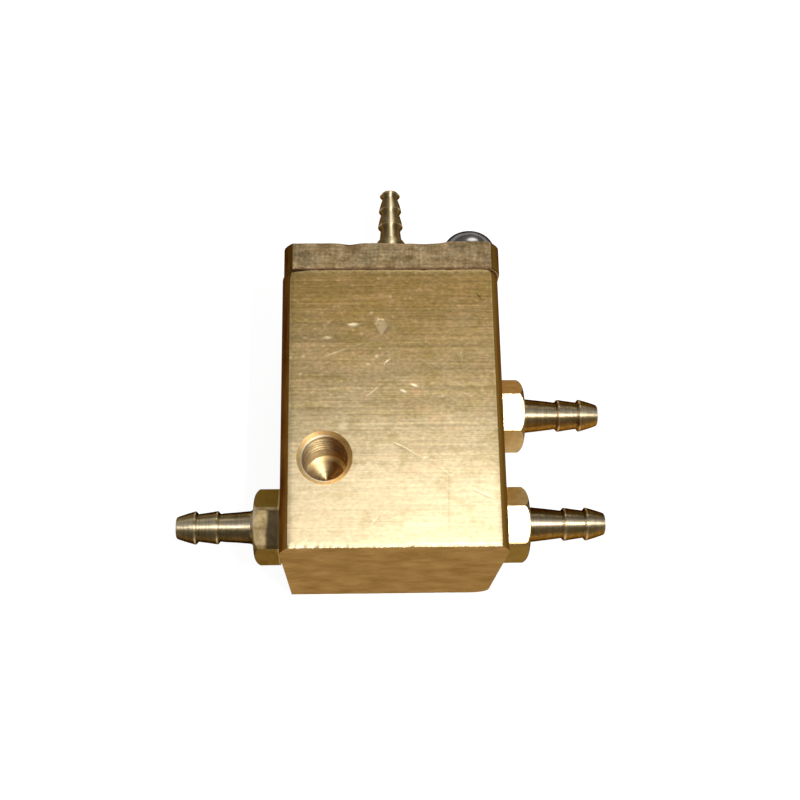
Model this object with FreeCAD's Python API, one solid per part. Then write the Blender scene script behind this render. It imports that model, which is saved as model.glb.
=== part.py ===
import FreeCAD, Part
import math
import os

from FreeCAD import Vector

# Air piloted water valve: a brass block with a bolted cap plate, three hose
# fittings in its sides and a smaller pilot fitting in the cap. Pilot air pushes
# a piston down, and its stem pushes a sealed poppet off the seat, so water from
# the lower gallery reaches the upper side port. A spring closes it again.
# Millimetres. Each piece is drawn with the valve standing: +Z towards the cap,
# -Y towards the front face, origin in the middle of the block's underside.
# At the end the whole valve is laid on its back, the way it is used here:
# +Z out of the front face, +Y towards the cap, origin in the middle of the back.

# Block
block_width = 30.0
block_depth = 34.5
block_height = 38.6
front_edge_inset = 1.25
front_edge_run = 4.4
rear_corner_radius = 3.0
edge_break = 0.25

# Cap plate
cap_thickness = 4.0
cap_narrowing = 0.2
cap_offset = 0.2

# General clearances, on the radius
thread_clearance = 0.03
fit_clearance = 0.03
sliding_clearance = 0.05
ring_clearance = 0.02
ring_side_gap = 0.25
stop_clearance = 0.05

# Mounting hole in the front face
mount_hole_x = -9.0
mount_hole_height = 12.0
mount_hole_diameter = 6.0
mount_hole_depth = 10.0
countersink_diameter = 7.3
drill_point_angle = 118.0

# Stepped bore down the middle of the block
cylinder_diameter = 20.0
cylinder_depth = 9.0
bush_diameter = 12.0
shoulder_height = 12.0
inlet_chamber_diameter = 9.0
inlet_chamber_floor = 3.0

# Water galleries and ports
lower_port_height = 6.7
upper_port_height = 22.9
gallery_diameter = 3.2
port_depth = 6.0
vent_diameter = 1.5
vent_height_above_floor = 1.2

# Hose fittings in the side ports
side_stud_diameter = 5.0
side_stud_length = 5.0
side_hex_across_flats = 9.35
side_hex_thickness = 3.7
side_bore_diameter = 2.3
side_root_diameter = 5.0
side_neck_diameter = 3.9
side_barb_diameter = 4.7
side_tip_diameter = 3.0
side_shank_length = 4.75
side_barb_step = 0.35
side_barb_pitch = 3.1
side_tip_taper = 2.75
side_tip_radius = 0.35
inlet_flare_diameter = 5.7
inlet_flare_length = 0.6
inlet_root_diameter = 4.6
inlet_hex_turn = -17.0
through_hex_turn = 13.0
outlet_hex_turn = 10.0

# Turned crown on the outer end of every hexagon
hex_face_share = 0.86
hex_crown_depth = 0.85
hex_crown_radius = 1.7

# Sealing washer under each side hexagon
side_washer_diameter = 10.2
side_washer_thickness = 0.6
washer_bore_clearance = 0.15

# Pilot fitting in the cap
pilot_x = 0.5
pilot_stud_diameter = 5.0
pilot_stud_length = 3.6
pilot_hex_across_flats = 8.0
pilot_hex_thickness = 3.6
pilot_hex_turn = 20.0
pilot_collar_diameter = 5.0
pilot_collar_length = 3.1
pilot_flare_length = 1.1
pilot_root_diameter = 3.3
pilot_root_length = 1.55
pilot_bore_diameter = 1.5
pilot_barb_step = 0.55
pilot_barb_diameters = (3.8, 3.45, 3.1)
pilot_neck_diameters = (3.0, 2.8, 2.3)
pilot_barb_lengths = (2.15, 2.1, 0.5)
pilot_tip_diameter = 2.35
pilot_washer_diameter = 7.6
pilot_washer_thickness = 0.9

# Cap screws, on one diagonal
screw_edge_x = 3.8
screw_edge_y = 5.0
screw_thread_diameter = 4.0
screw_length = 11.0
screw_hole_clearance = 0.25
screw_hole_spare_depth = 2.0
screw_head_diameter = 7.8
screw_head_height = 2.7
screw_head_sphere = 4.3
recess_span = 4.4
recess_wing = 0.95
recess_depth = 2.1
recess_bottom_span = 1.3
spring_washer_thickness = 1.1
spring_washer_width = 1.1
spring_washer_slit = 0.7
spring_washer_slit_slant = 25.0

# Seal between the cap and the block
cap_ring_gap = 0.8
cap_ring_width = 1.8
cap_ring_depth = 1.35

# Seat bush
bush_ring_width = 1.9
bush_ring_depth = 1.1
bush_waist_width = 4.0
bush_waist_depth = 1.2
bush_water_bore = 5.0
bush_seat_bore = 4.2
seat_land_length = 1.6
seat_lip_width = 0.5
seat_lip_height = 0.5
cross_hole_diameter = 2.2
cross_hole_count = 4
water_bore_overrun = 0.6
gland_diameter = 5.6
gland_ring_height = 1.6
gland_cover_thickness = 1.2
spanner_hole_diameter = 1.2
spanner_hole_depth = 1.4
spanner_hole_circle = 8.8

# Moving stem, piston and poppet
stem_diameter = 2.5
valve_travel = 1.5
piston_thickness = 4.2
piston_hub_diameter = 7.0
piston_hub_length = 1.65
piston_ring_width = 2.0
piston_ring_depth = 1.6
nut_across_flats = 4.5
nut_height = 1.8
nut_pocket_diameter = 6.4
poppet_diameter = 7.4
poppet_flange = 1.3
seal_diameter = 6.6
seal_thickness = 1.2
seal_stand_out = 0.25
poppet_spigot_diameter = 3.9
poppet_spigot_length = 1.2
stem_socket_depth = 1.9

# Return spring
spring_wire = 0.55
spring_wire_flats = 8
spring_mean_diameter = 5.4
spring_coils = 3.5

# Worked out from the sizes above
side_x = block_width / 2
front_y = -block_depth / 2
rear_y = block_depth / 2
cap_top = block_height + cap_thickness
cylinder_floor = block_height - cylinder_depth
cylinder_radius = cylinder_diameter / 2
bush_radius = bush_diameter / 2
stem_radius = stem_diameter / 2
hub_bottom = cylinder_floor + valve_travel + stop_clearance
piston_bottom = hub_bottom + piston_hub_length
piston_top = piston_bottom + piston_thickness
nut_seat = piston_top - nut_height
seat_face = shoulder_height - seat_lip_height
poppet_top = seat_face - seal_stand_out
seal_bottom = seat_face - seal_thickness
poppet_bottom = seal_bottom - poppet_flange
drill_point_slope = math.tan(math.radians(drill_point_angle / 2))
screw_x = side_x - screw_edge_x
screw_y = front_y + screw_edge_y
screw_places = {"front": (screw_x, screw_y), "rear": (-screw_x, -screw_y)}


def cylinder(radius, low, high, x=0.0, y=0.0):
    return Part.makeCylinder(radius, high - low, Vector(x, y, low))


def tube(inner, outer, low, high):
    return cylinder(outer, low, high).cut(cylinder(inner, low, high))


def revolved(section):
    return section.revolve(Vector(0, 0, 0), Vector(0, 0, 1), 360)


def turned(outline):
    """Solid turned about Z from (radius, height) points."""
    points = [Vector(radius, 0, height) for radius, height in outline]
    return revolved(Part.Face(Part.makePolygon(points + points[:1])))


def bulged(start, end, radius, outward):
    """Arc of a given radius from start to end that bulges towards outward."""
    half_chord = (end - start).Length / 2
    rise = radius - math.sqrt(radius**2 - half_chord**2)
    middle = (start + end) / 2 + Vector(outward).normalize() * rise
    return Part.Arc(start, middle, end)


def seal_ring(inner, outer, middle, groove_width):
    """Square cut rubber ring between two walls, with room at its sides in the groove."""
    half = groove_width / 2 - ring_side_gap
    return tube(inner + ring_clearance, outer - ring_clearance, middle - half, middle + half)


def hexagon(across_flats, low, high):
    corner = across_flats / math.sqrt(3)
    angles = [math.radians(60 * k) for k in range(7)]
    points = [Vector(corner * math.cos(a), corner * math.sin(a), low) for a in angles]
    return Part.Face(Part.makePolygon(points)).extrude(Vector(0, 0, high - low))


def drilled(radius, mouth, depth):
    """Blind drilled hole down from its mouth, with its pointed end."""
    point = radius / drill_point_slope
    return turned([(0, mouth), (radius, mouth), (radius, mouth - depth), (0, mouth - depth - point)])


def placed(shape, base, direction, turn=0.0):
    """Copy of a shape made along +Z, moved to base with its axis along direction."""
    spin = FreeCAD.Rotation(Vector(0, 0, 1), turn)
    aim = FreeCAD.Rotation(Vector(0, 0, 1), direction)
    moved = shape.copy()
    moved.Placement = FreeCAD.Placement(base, aim.multiply(spin))
    return moved


def edges_at(shape, height):
    """Edges that lie in one level plane."""
    return [e for e in shape.Edges if all(abs(v.Z - height) < 1e-6 for v in e.Vertexes)]


# Block and cap


def front_rounding(side, front, sign):
    """Large front edge rounding, tangent to the side and cut off by the front face."""
    radius = (front_edge_inset**2 + front_edge_run**2) / (2 * front_edge_inset)
    start = Vector(side - sign * front_edge_inset, front, 0)
    end = Vector(side, front + front_edge_run, 0)
    outward = Vector(sign * front_edge_run, -front_edge_inset, 0)
    return start, end, bulged(start, end, radius, outward)


def bar_section(left, right, front, rear):
    """Section of the bar: two large front roundings, one rounded rear corner."""
    left_start, left_end, left_arc = front_rounding(left, front, -1)
    right_start, right_end, right_arc = front_rounding(right, front, 1)
    corner_start = Vector(right, rear - rear_corner_radius, 0)
    corner_end = Vector(right - rear_corner_radius, rear, 0)
    rear_left = Vector(left, rear, 0)
    edges = [
        Part.LineSegment(left_start, right_start),
        right_arc,
        Part.LineSegment(right_end, corner_start),
        bulged(corner_start, corner_end, rear_corner_radius, Vector(1, 1, 0)),
        Part.LineSegment(corner_end, rear_left),
        Part.LineSegment(rear_left, left_end),
        left_arc,
    ]
    wire = Part.Wire(Part.__sortEdges__([edge.toShape() for edge in edges]))
    return Part.Face(wire)


def mounting_hole():
    """Drilled and countersunk hole, down from its mouth at zero."""
    radius = mount_hole_diameter / 2
    wide = countersink_diameter / 2
    sink = turned([(0, 0), (wide, 0), (radius, radius - wide), (0, radius - wide)])
    return drilled(radius, 0, mount_hole_depth).fuse(sink)


def side_port():
    """Threaded port and its gallery to the middle, along +Z from the valve's axis."""
    port = cylinder(side_stud_diameter / 2 + thread_clearance, side_x - port_depth, side_x)
    return port.fuse(cylinder(gallery_diameter / 2, 0, side_x - port_depth))


def stepped_bore():
    chamber = inlet_chamber_diameter / 2
    bush = bush_radius + fit_clearance
    return turned(
        [
            (0, inlet_chamber_floor),
            (chamber, inlet_chamber_floor),
            (chamber, shoulder_height),
            (bush, shoulder_height),
            (bush, cylinder_floor),
            (cylinder_radius, cylinder_floor),
            (cylinder_radius, block_height),
            (0, block_height),
        ]
    )


def cap_ring_groove():
    inner = cylinder_radius + cap_ring_gap
    return tube(inner, inner + cap_ring_width, block_height - cap_ring_depth, block_height)


def screw_hole(x, y):
    """Threaded hole for the part of a cap screw that reaches past the cap."""
    engaged = screw_length - spring_washer_thickness - cap_thickness
    radius = screw_thread_diameter / 2 + thread_clearance
    hole = drilled(radius, block_height, engaged + screw_hole_spare_depth)
    hole.translate(Vector(x, y, 0))
    return hole


def valve_block():
    block = bar_section(-side_x, side_x, front_y, rear_y).extrude(Vector(0, 0, block_height))
    block = block.makeChamfer(edge_break, edges_at(block, 0))
    vent = cylinder(vent_diameter / 2, 0, rear_y)
    lower = Vector(0, 0, lower_port_height)
    upper = Vector(0, 0, upper_port_height)
    tools = [
        stepped_bore(),
        cap_ring_groove(),
        placed(side_port(), lower, Vector(1, 0, 0)),
        placed(side_port(), lower, Vector(-1, 0, 0)),
        placed(side_port(), upper, Vector(1, 0, 0)),
        placed(vent, Vector(0, 0, cylinder_floor + vent_height_above_floor), Vector(0, 1, 0)),
        placed(mounting_hole(), Vector(mount_hole_x, front_y, mount_hole_height), Vector(0, -1, 0)),
    ]
    tools += [screw_hole(x, y) for x, y in screw_places.values()]
    return block.cut(tools)


def cap_plate():
    left = cap_offset + cap_narrowing / 2 - side_x
    right = cap_offset - cap_narrowing / 2 + side_x
    plate = bar_section(left, right, front_y, rear_y).extrude(Vector(0, 0, cap_thickness))
    plate = plate.makeChamfer(edge_break, edges_at(plate, cap_thickness))
    plate.translate(Vector(0, 0, block_height))
    tools = [cylinder(pilot_stud_diameter / 2 + thread_clearance, block_height, cap_top, pilot_x)]
    screw_radius = screw_thread_diameter / 2 + screw_hole_clearance
    tools += [cylinder(screw_radius, block_height, cap_top, x, y) for x, y in screw_places.values()]
    return plate.cut(tools)


def cap_seal_ring():
    """Square cut rubber ring squeezed between the cap and the floor of its groove."""
    groove = cylinder_radius + cap_ring_gap
    low = block_height - cap_ring_depth + ring_clearance
    high = block_height - ring_clearance
    return tube(groove + ring_side_gap, groove + cap_ring_width - ring_side_gap, low, high)


# Hose fittings


def crowned_hex(across_flats, low, high):
    """Hexagon with a turned, rounded crown on its outer end."""
    corner = across_flats / math.sqrt(3)
    face = across_flats / 2 * hex_face_share
    shoulder = Vector(corner, 0, high - hex_crown_depth)
    rim = Vector(face, 0, high)
    edges = [
        Part.LineSegment(Vector(0, 0, low), Vector(corner, 0, low)),
        Part.LineSegment(Vector(corner, 0, low), shoulder),
        bulged(shoulder, rim, hex_crown_radius, Vector(hex_crown_depth, 0, corner - face)),
        Part.LineSegment(rim, Vector(0, 0, high)),
        Part.LineSegment(Vector(0, 0, high), Vector(0, 0, low)),
    ]
    crown = Part.Face(Part.Wire([edge.toShape() for edge in edges]))
    return hexagon(across_flats, low, high).common(revolved(crown))


def side_fitting(flare_diameter, flare_length, root_diameter):
    """Two-barb hose fitting along +Z, with its sealing face on the block at zero."""
    hex_low = side_washer_thickness
    hex_top = hex_low + side_hex_thickness
    neck = side_neck_diameter / 2
    barb = side_barb_diameter / 2
    first = hex_top + side_shank_length
    second = first + side_barb_pitch
    end = second + side_barb_step + side_tip_taper
    stem = turned(
        [
            (0, -side_stud_length),
            (side_stud_diameter / 2, -side_stud_length),
            (side_stud_diameter / 2, hex_low),
            (flare_diameter / 2, hex_low),
            (flare_diameter / 2, hex_top),
            (root_diameter / 2, hex_top + flare_length),
            (neck, first),
            (barb, first + side_barb_step),
            (neck, second),
            (barb, second + side_barb_step),
            (side_tip_diameter / 2, end),
            (0, end),
        ]
    )
    rim = [e for e in edges_at(stem, end) if e.Curve.TypeId == "Part::GeomCircle"]
    stem = stem.makeFillet(side_tip_radius, rim)
    body = stem.fuse(crowned_hex(side_hex_across_flats, hex_low, hex_top))
    return body.cut(cylinder(side_bore_diameter / 2, -side_stud_length, end)).removeSplitter()


def inlet_fitting():
    fitting = side_fitting(inlet_flare_diameter, inlet_flare_length, inlet_root_diameter)
    return placed(fitting, Vector(-side_x, 0, lower_port_height), Vector(-1, 0, 0), inlet_hex_turn)


def right_fitting(height, hex_turn):
    fitting = side_fitting(side_root_diameter, 0.0, side_root_diameter)
    return placed(fitting, Vector(side_x, 0, height), Vector(1, 0, 0), hex_turn)


def pilot_fitting():
    """Three-barb pilot fitting, with a plain collar above its hexagon."""
    hex_low = pilot_washer_thickness
    hex_top = hex_low + pilot_hex_thickness
    collar = pilot_collar_diameter / 2
    collar_top = hex_top + pilot_collar_length
    outline = [
        (0, -pilot_stud_length),
        (pilot_stud_diameter / 2, -pilot_stud_length),
        (pilot_stud_diameter / 2, hex_low),
        (collar, hex_low),
        (collar, collar_top),
        (pilot_root_diameter / 2, collar_top + pilot_flare_length),
    ]
    level = collar_top + pilot_flare_length + pilot_root_length
    for barb, neck, length in zip(pilot_barb_diameters, pilot_neck_diameters, pilot_barb_lengths):
        outline.append((neck / 2, level))
        outline.append((barb / 2, level + pilot_barb_step))
        level += pilot_barb_step + length
    outline.append((pilot_tip_diameter / 2, level))
    outline.append((0, level))
    body = turned(outline).fuse(crowned_hex(pilot_hex_across_flats, hex_low, hex_top))
    body = body.cut(cylinder(pilot_bore_diameter / 2, -pilot_stud_length, level)).removeSplitter()
    return placed(body, Vector(pilot_x, 0, cap_top), Vector(0, 0, 1), pilot_hex_turn)


def side_washer(side, height):
    inner = side_stud_diameter / 2 + washer_bore_clearance
    washer = tube(inner, side_washer_diameter / 2, 0, side_washer_thickness)
    return placed(washer, Vector(side * side_x, 0, height), Vector(side, 0, 0))


def pilot_washer():
    inner = pilot_stud_diameter / 2 + washer_bore_clearance
    washer = tube(inner, pilot_washer_diameter / 2, 0, pilot_washer_thickness)
    return placed(washer, Vector(pilot_x, 0, cap_top), Vector(0, 0, 1))


# Cap screws


def cross_recess(top):
    """Cross shaped driver recess that narrows towards its bottom."""
    low = top - recess_depth
    half = recess_span / 2
    wing = Part.makeBox(recess_span, recess_wing, recess_depth, Vector(-half, -recess_wing / 2, low))
    other = Part.makeBox(recess_wing, recess_span, recess_depth, Vector(-recess_wing / 2, -half, low))
    taper = Part.makeCone(recess_bottom_span / 2, half, recess_depth, Vector(0, 0, low))
    return wing.fuse(other).common(taper)


def cap_screw(place):
    x, y = screw_places[place]
    seat = spring_washer_thickness
    top = seat + screw_head_height
    dome = Part.makeSphere(screw_head_sphere, Vector(0, 0, top - screw_head_sphere))
    head = dome.common(cylinder(screw_head_diameter / 2, seat, top))
    shank = cylinder(screw_thread_diameter / 2, seat - screw_length, seat)
    screw = head.fuse(shank).cut(cross_recess(top))
    screw.translate(Vector(x, y, cap_top))
    return screw


def spring_washer(place):
    """Split washer with a slanting slit."""
    x, y = screw_places[place]
    inner = screw_thread_diameter / 2 + fit_clearance
    outer = inner + spring_washer_width
    thickness = spring_washer_thickness
    slit = Part.makeBox(outer, spring_washer_slit, 2 * thickness, Vector(0, 0, -thickness / 2))
    slit.rotate(Vector(0, 0, 0), Vector(1, 0, 0), spring_washer_slit_slant)
    washer = tube(inner, outer, 0, thickness).cut(slit)
    washer.translate(Vector(x, y, cap_top))
    return washer


# Seat bush and its seals


def bush_ring_levels():
    """Heights of the two outer seal grooves, each in the middle of its land."""
    lower_land_top = upper_port_height - bush_waist_width / 2
    upper_land_bottom = upper_port_height + bush_waist_width / 2
    return (shoulder_height + lower_land_top) / 2, (cylinder_floor + upper_land_bottom) / 2


def gland_floor():
    return cylinder_floor - gland_cover_thickness - gland_ring_height


def outer_groove(depth, middle, width):
    return tube(bush_radius - depth, bush_diameter, middle - width / 2, middle + width / 2)


def seat_bush():
    """Bush with the valve seat below, cross holes in its waist and the stem gland on top."""
    seat = bush_seat_bore / 2
    body = cylinder(bush_radius, shoulder_height, cylinder_floor)
    lip = tube(seat, seat + seat_lip_width, seat_face, shoulder_height)
    seat_top = shoulder_height + seat_land_length
    water_top = upper_port_height + cross_hole_diameter / 2 + water_bore_overrun
    tools = [
        outer_groove(bush_waist_depth, upper_port_height, bush_waist_width),
        cylinder(seat, shoulder_height, seat_top),
        cylinder(bush_water_bore / 2, seat_top, water_top),
        cylinder(stem_radius + sliding_clearance, water_top, cylinder_floor),
        cylinder(gland_diameter / 2, gland_floor(), cylinder_floor),
    ]
    tools += [outer_groove(bush_ring_depth, level, bush_ring_width) for level in bush_ring_levels()]
    hole = cylinder(cross_hole_diameter / 2, 0, bush_radius)
    for k in range(cross_hole_count):
        angle = 2 * math.pi * k / cross_hole_count
        outward = Vector(math.cos(angle), math.sin(angle), 0)
        tools.append(placed(hole, Vector(0, 0, upper_port_height), outward))
    low = cylinder_floor - spanner_hole_depth
    for y in (-spanner_hole_circle / 2, spanner_hole_circle / 2):
        tools.append(cylinder(spanner_hole_diameter / 2, low, cylinder_floor, 0, y))
    return body.fuse(lip).cut(tools)


def bush_seal_ring(level):
    groove = bush_radius - bush_ring_depth
    return seal_ring(groove, bush_radius + fit_clearance, level, bush_ring_width)


def gland_ring():
    """Square section seal round the stem."""
    inner = stem_radius + ring_clearance
    outer = gland_diameter / 2 - ring_clearance
    return tube(inner, outer, gland_floor(), gland_floor() + gland_ring_height)


def gland_cover():
    inner = stem_radius + sliding_clearance
    outer = gland_diameter / 2 - fit_clearance
    return tube(inner, outer, cylinder_floor - gland_cover_thickness, cylinder_floor)


# Moving pieces


def valve_stem():
    return cylinder(stem_radius, seal_bottom - stem_socket_depth, piston_top)


def piston():
    """Piston with a seal groove, a nut pocket and a hub that lands on the bush."""
    disc = cylinder(cylinder_radius - sliding_clearance, piston_bottom, piston_top)
    hub = cylinder(piston_hub_diameter / 2, hub_bottom, piston_bottom)
    middle = (piston_bottom + piston_top) / 2
    low = middle - piston_ring_width / 2
    tools = [
        tube(cylinder_radius - piston_ring_depth, cylinder_diameter, low, low + piston_ring_width),
        cylinder(stem_radius + fit_clearance, hub_bottom, piston_top),
        cylinder(nut_pocket_diameter / 2, nut_seat, piston_top),
    ]
    return disc.fuse(hub).cut(tools)


def piston_seal_ring():
    level = (piston_bottom + piston_top) / 2
    groove = cylinder_radius - piston_ring_depth
    return seal_ring(groove, cylinder_radius - ring_clearance, level, piston_ring_width)


def piston_nut():
    nut = hexagon(nut_across_flats, nut_seat, piston_top)
    return nut.cut(cylinder(stem_radius + thread_clearance, nut_seat, piston_top))


def poppet():
    """Cup that holds the rubber seal, with a spigot that centres the spring."""
    body = cylinder(poppet_diameter / 2, poppet_bottom, poppet_top)
    spigot = cylinder(poppet_spigot_diameter / 2, poppet_bottom - poppet_spigot_length, poppet_bottom)
    pocket = cylinder(seal_diameter / 2 + fit_clearance, seal_bottom, poppet_top)
    socket = cylinder(stem_radius + thread_clearance, seal_bottom - stem_socket_depth, seal_bottom)
    return body.fuse(spigot).cut([pocket, socket]).removeSplitter()


def poppet_seal():
    return tube(stem_radius + fit_clearance, seal_diameter / 2, seal_bottom, seat_face)


def return_spring():
    """Open coil between the chamber floor and the poppet, its wire drawn with flats."""
    radius = spring_mean_diameter / 2
    rise = poppet_bottom - inlet_chamber_floor - spring_wire
    path = Part.makeHelix(rise / spring_coils, rise, radius)
    wire = spring_wire / 2
    angles = [2 * math.pi * k / spring_wire_flats for k in range(spring_wire_flats)]
    points = [Vector(radius + wire * math.cos(a), 0, wire * math.sin(a)) for a in angles]
    section = Part.makePolygon(points + points[:1])
    coil = Part.Wire(path).makePipeShell([section], True, True)
    coil.translate(Vector(0, 0, inlet_chamber_floor + spring_wire / 2))
    return coil


def laid_on_its_back(shape):
    """The valve tipped back, so its front face looks up and its back lies at zero."""
    tipped = shape.copy()
    tipped.rotate(Vector(0, 0, 0), Vector(1, 0, 0), -90)
    tipped.translate(Vector(0, -block_height / 2, rear_y))
    return tipped


lower_ring_level, upper_ring_level = bush_ring_levels()
nodes = {
    "valve_block": valve_block(),
    "cap_plate": cap_plate(),
    "cap_seal_ring": cap_seal_ring(),
    "cap_screw_front": cap_screw("front"),
    "cap_screw_rear": cap_screw("rear"),
    "spring_washer_front": spring_washer("front"),
    "spring_washer_rear": spring_washer("rear"),
    "inlet_fitting": inlet_fitting(),
    "through_fitting": right_fitting(lower_port_height, through_hex_turn),
    "outlet_fitting": right_fitting(upper_port_height, outlet_hex_turn),
    "pilot_fitting": pilot_fitting(),
    "inlet_washer": side_washer(-1, lower_port_height),
    "through_washer": side_washer(1, lower_port_height),
    "outlet_washer": side_washer(1, upper_port_height),
    "pilot_washer": pilot_washer(),
    "seat_bush": seat_bush(),
    "bush_ring_lower": bush_seal_ring(lower_ring_level),
    "bush_ring_upper": bush_seal_ring(upper_ring_level),
    "gland_ring": gland_ring(),
    "gland_cover": gland_cover(),
    "valve_stem": valve_stem(),
    "piston": piston(),
    "piston_seal_ring": piston_seal_ring(),
    "piston_nut": piston_nut(),
    "poppet": poppet(),
    "poppet_seal": poppet_seal(),
    "return_spring": return_spring(),
}

os.makedirs("parts", exist_ok=True)
for name, shape in nodes.items():
    solid = laid_on_its_back(shape)
    solid.exportStep(os.path.join("parts", name + ".step"))
    print(name, "solids", len(solid.Solids), "valid", solid.isValid(), "volume", round(solid.Volume, 2))
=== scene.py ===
# %% [markdown]
# # A brass water valve in Blender
#
# The valve is a short length of brass bar with a bolted cap plate, three hose
# fittings in its sides and a small pilot fitting in the cap. It lies on its back
# on a white table and the camera looks down on its milled front face.
#
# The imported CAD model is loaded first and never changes. It gives every place and
# size, so each new piece is drawn straight at its place, in the same frame:
# +X to the side with two fittings, +Y towards the cap, +Z out of the front face.

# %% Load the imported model
import math

import bpy
from mathutils import Matrix, Vector, noise


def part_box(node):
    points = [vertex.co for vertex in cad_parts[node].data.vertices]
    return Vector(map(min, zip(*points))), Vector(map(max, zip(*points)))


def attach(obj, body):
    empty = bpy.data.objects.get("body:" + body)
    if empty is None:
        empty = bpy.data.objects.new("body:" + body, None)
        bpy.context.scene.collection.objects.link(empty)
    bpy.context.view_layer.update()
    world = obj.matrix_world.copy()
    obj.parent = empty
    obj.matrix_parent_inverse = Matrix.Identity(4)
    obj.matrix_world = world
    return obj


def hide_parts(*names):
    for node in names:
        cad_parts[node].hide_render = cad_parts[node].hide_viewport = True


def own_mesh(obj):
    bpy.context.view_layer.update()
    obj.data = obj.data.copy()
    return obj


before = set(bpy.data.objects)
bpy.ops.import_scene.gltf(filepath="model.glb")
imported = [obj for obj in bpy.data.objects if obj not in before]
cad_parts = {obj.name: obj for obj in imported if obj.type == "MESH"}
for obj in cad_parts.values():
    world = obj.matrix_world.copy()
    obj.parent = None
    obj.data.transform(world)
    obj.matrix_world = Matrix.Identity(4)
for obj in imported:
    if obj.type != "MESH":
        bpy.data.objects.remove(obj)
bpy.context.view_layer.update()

MM = 0.001

# %% [markdown]
# ## Camera
#
# The camera was solved from the photograph's edges, so its place and turn are
# plain numbers. A matrix whose columns are the camera's right, up and back
# directions says both at once, and nothing has to be aimed by hand.

# %% Camera
CAMERA_LENS = 55.52
CAMERA_SENSOR = 36
CAMERA_PLACE = Vector((-4.357, -51.018, 188.716)) * MM
CAMERA_AXES = (
    (0.99945, 0.00678, -0.03249),
    (-0.01672, 0.94846, -0.31644),
    (0.02867, 0.31681, 0.94805),
)

camera_data = bpy.data.cameras.new("valve_camera")
camera_data.lens = CAMERA_LENS
camera_data.sensor_width = CAMERA_SENSOR
camera_data.clip_start = 1 * MM
camera = bpy.data.objects.new("valve_camera", camera_data)
bpy.context.scene.collection.objects.link(camera)
camera.matrix_world = Matrix.Translation(CAMERA_PLACE) @ Matrix(CAMERA_AXES).to_4x4()
bpy.context.scene.camera = camera
bpy.context.scene.view_settings.view_transform = "Standard"
print("camera", [round(v / MM, 1) for v in camera.location], "mm, lens", camera_data.lens)

# %% [markdown]
# ## Colours and nodes
#
# Colours are picked as sRGB hex values, the way any picture shows them, and one
# function turns them to the linear values that the renderer works in. One more
# function adds a node with its settings and its values or links, so each
# material below reads as a list of what it is made of.

# %% Colour and node helpers
def linear(hex_colour):
    """The sRGB hex colour as linear red, green, blue and alpha."""
    def one(value):
        return value / 12.92 if value <= 0.04045 else ((value + 0.055) / 1.055) ** 2.4
    parts = [int(hex_colour[i : i + 2], 16) / 255 for i in (1, 3, 5)]
    return (*map(one, parts), 1.0)


def add_node(tree, kind, values=None, **settings):
    """Add a node. Settings go to the node and values to its sockets.

    A socket that is given as a value is linked.
    """
    new = tree.nodes.new(kind)
    for key, value in settings.items():
        setattr(new, key, value)
    for key, value in (values or {}).items():
        if isinstance(value, bpy.types.NodeSocket):
            tree.links.new(value, new.inputs[key])
        else:
            new.inputs[key].default_value = value
    return new


def new_material(name):
    """An empty material with its output node, and the object coordinates that patterns read."""
    material = bpy.data.materials.new(name)
    material.use_nodes = True
    tree = material.node_tree
    tree.nodes.clear()
    output = add_node(tree, "ShaderNodeOutputMaterial")
    place = add_node(tree, "ShaderNodeTexCoord").outputs["Object"]
    return material, tree, output, place


print("brass yellow, linear:", [round(v, 3) for v in linear("#c8a868")])

# %% [markdown]
# ## Patterns
#
# Tool marks, wear and tarnish change a metal's colour from place to place. Each is
# a pattern with a real size in millimetres. A finish reads a pattern between two
# levels and tints or shades the colour by it, one step after another.

# %% Pattern helpers
def stretched_noise(tree, place, size, detail=2.0, roughness=0.5):
    """Noise whose grain has the given size in metres along X, Y and Z."""
    grain = add_node(tree, "ShaderNodeMapping", {"Vector": place, "Scale": [1 / s for s in size]})
    return add_node(
        tree,
        "ShaderNodeTexNoise",
        {"Vector": grain.outputs[0], "Scale": 1.0, "Detail": detail, "Roughness": roughness},
    ).outputs["Fac"]


def levels(tree, value, low, high, new_low=0.0, new_high=1.0):
    """The value stretched from low..high to new_low..new_high, and clamped there."""
    return add_node(
        tree,
        "ShaderNodeMapRange",
        {"Value": value, "From Min": low, "From Max": high, "To Min": new_low, "To Max": new_high},
    ).outputs[0]


def from_noise(tree, grain, start, end):
    """Noise, which mostly lies between 0.3 and 0.7, stretched to go from start to end."""
    return levels(tree, grain, 0.3, 0.7, start, end)


def mixed(tree, share, first, second):
    """First colour where share is 0, second where it is 1."""
    values = {0: share, 6: first, 7: second}
    return add_node(tree, "ShaderNodeMix", values, data_type="RGBA").outputs[2]


def tinted(tree, colour, value, low, high, share, tint):
    """The colour mixed towards a tint as the value goes from low to high, up to a share."""
    return mixed(tree, levels(tree, value, low, high, 0.0, share), colour, linear(tint))


def clouded(tree, cloud, dark, light):
    """A dark and a light colour, mixed by noise."""
    return mixed(tree, levels(tree, cloud, 0.35, 0.65), linear(dark), linear(light))


def scaled(tree, colour, factor):
    """The colour made darker or lighter by a factor."""
    values = {0: colour, "Scale": factor}
    return add_node(tree, "ShaderNodeVectorMath", values, operation="SCALE").outputs[0]


def ramp(tree, value, stops):
    """Colour that changes with a value from 0 to 1, by (position, hex colour) stops."""
    new = add_node(tree, "ShaderNodeValToRGB", {0: value})
    elements = new.color_ramp.elements
    while len(elements) < len(stops):
        elements.new(0.5)
    for element, (position, colour) in zip(elements, stops):
        element.position = position
        element.color = linear(colour)
    return new.outputs[0]


def weighted(tree, first, second, share):
    """The first value plus a share of the second. With 0 as the first it is their product."""
    values = {0: second, 1: share, 2: first}
    return add_node(tree, "ShaderNodeMath", values, operation="MULTIPLY_ADD").outputs[0]


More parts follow.
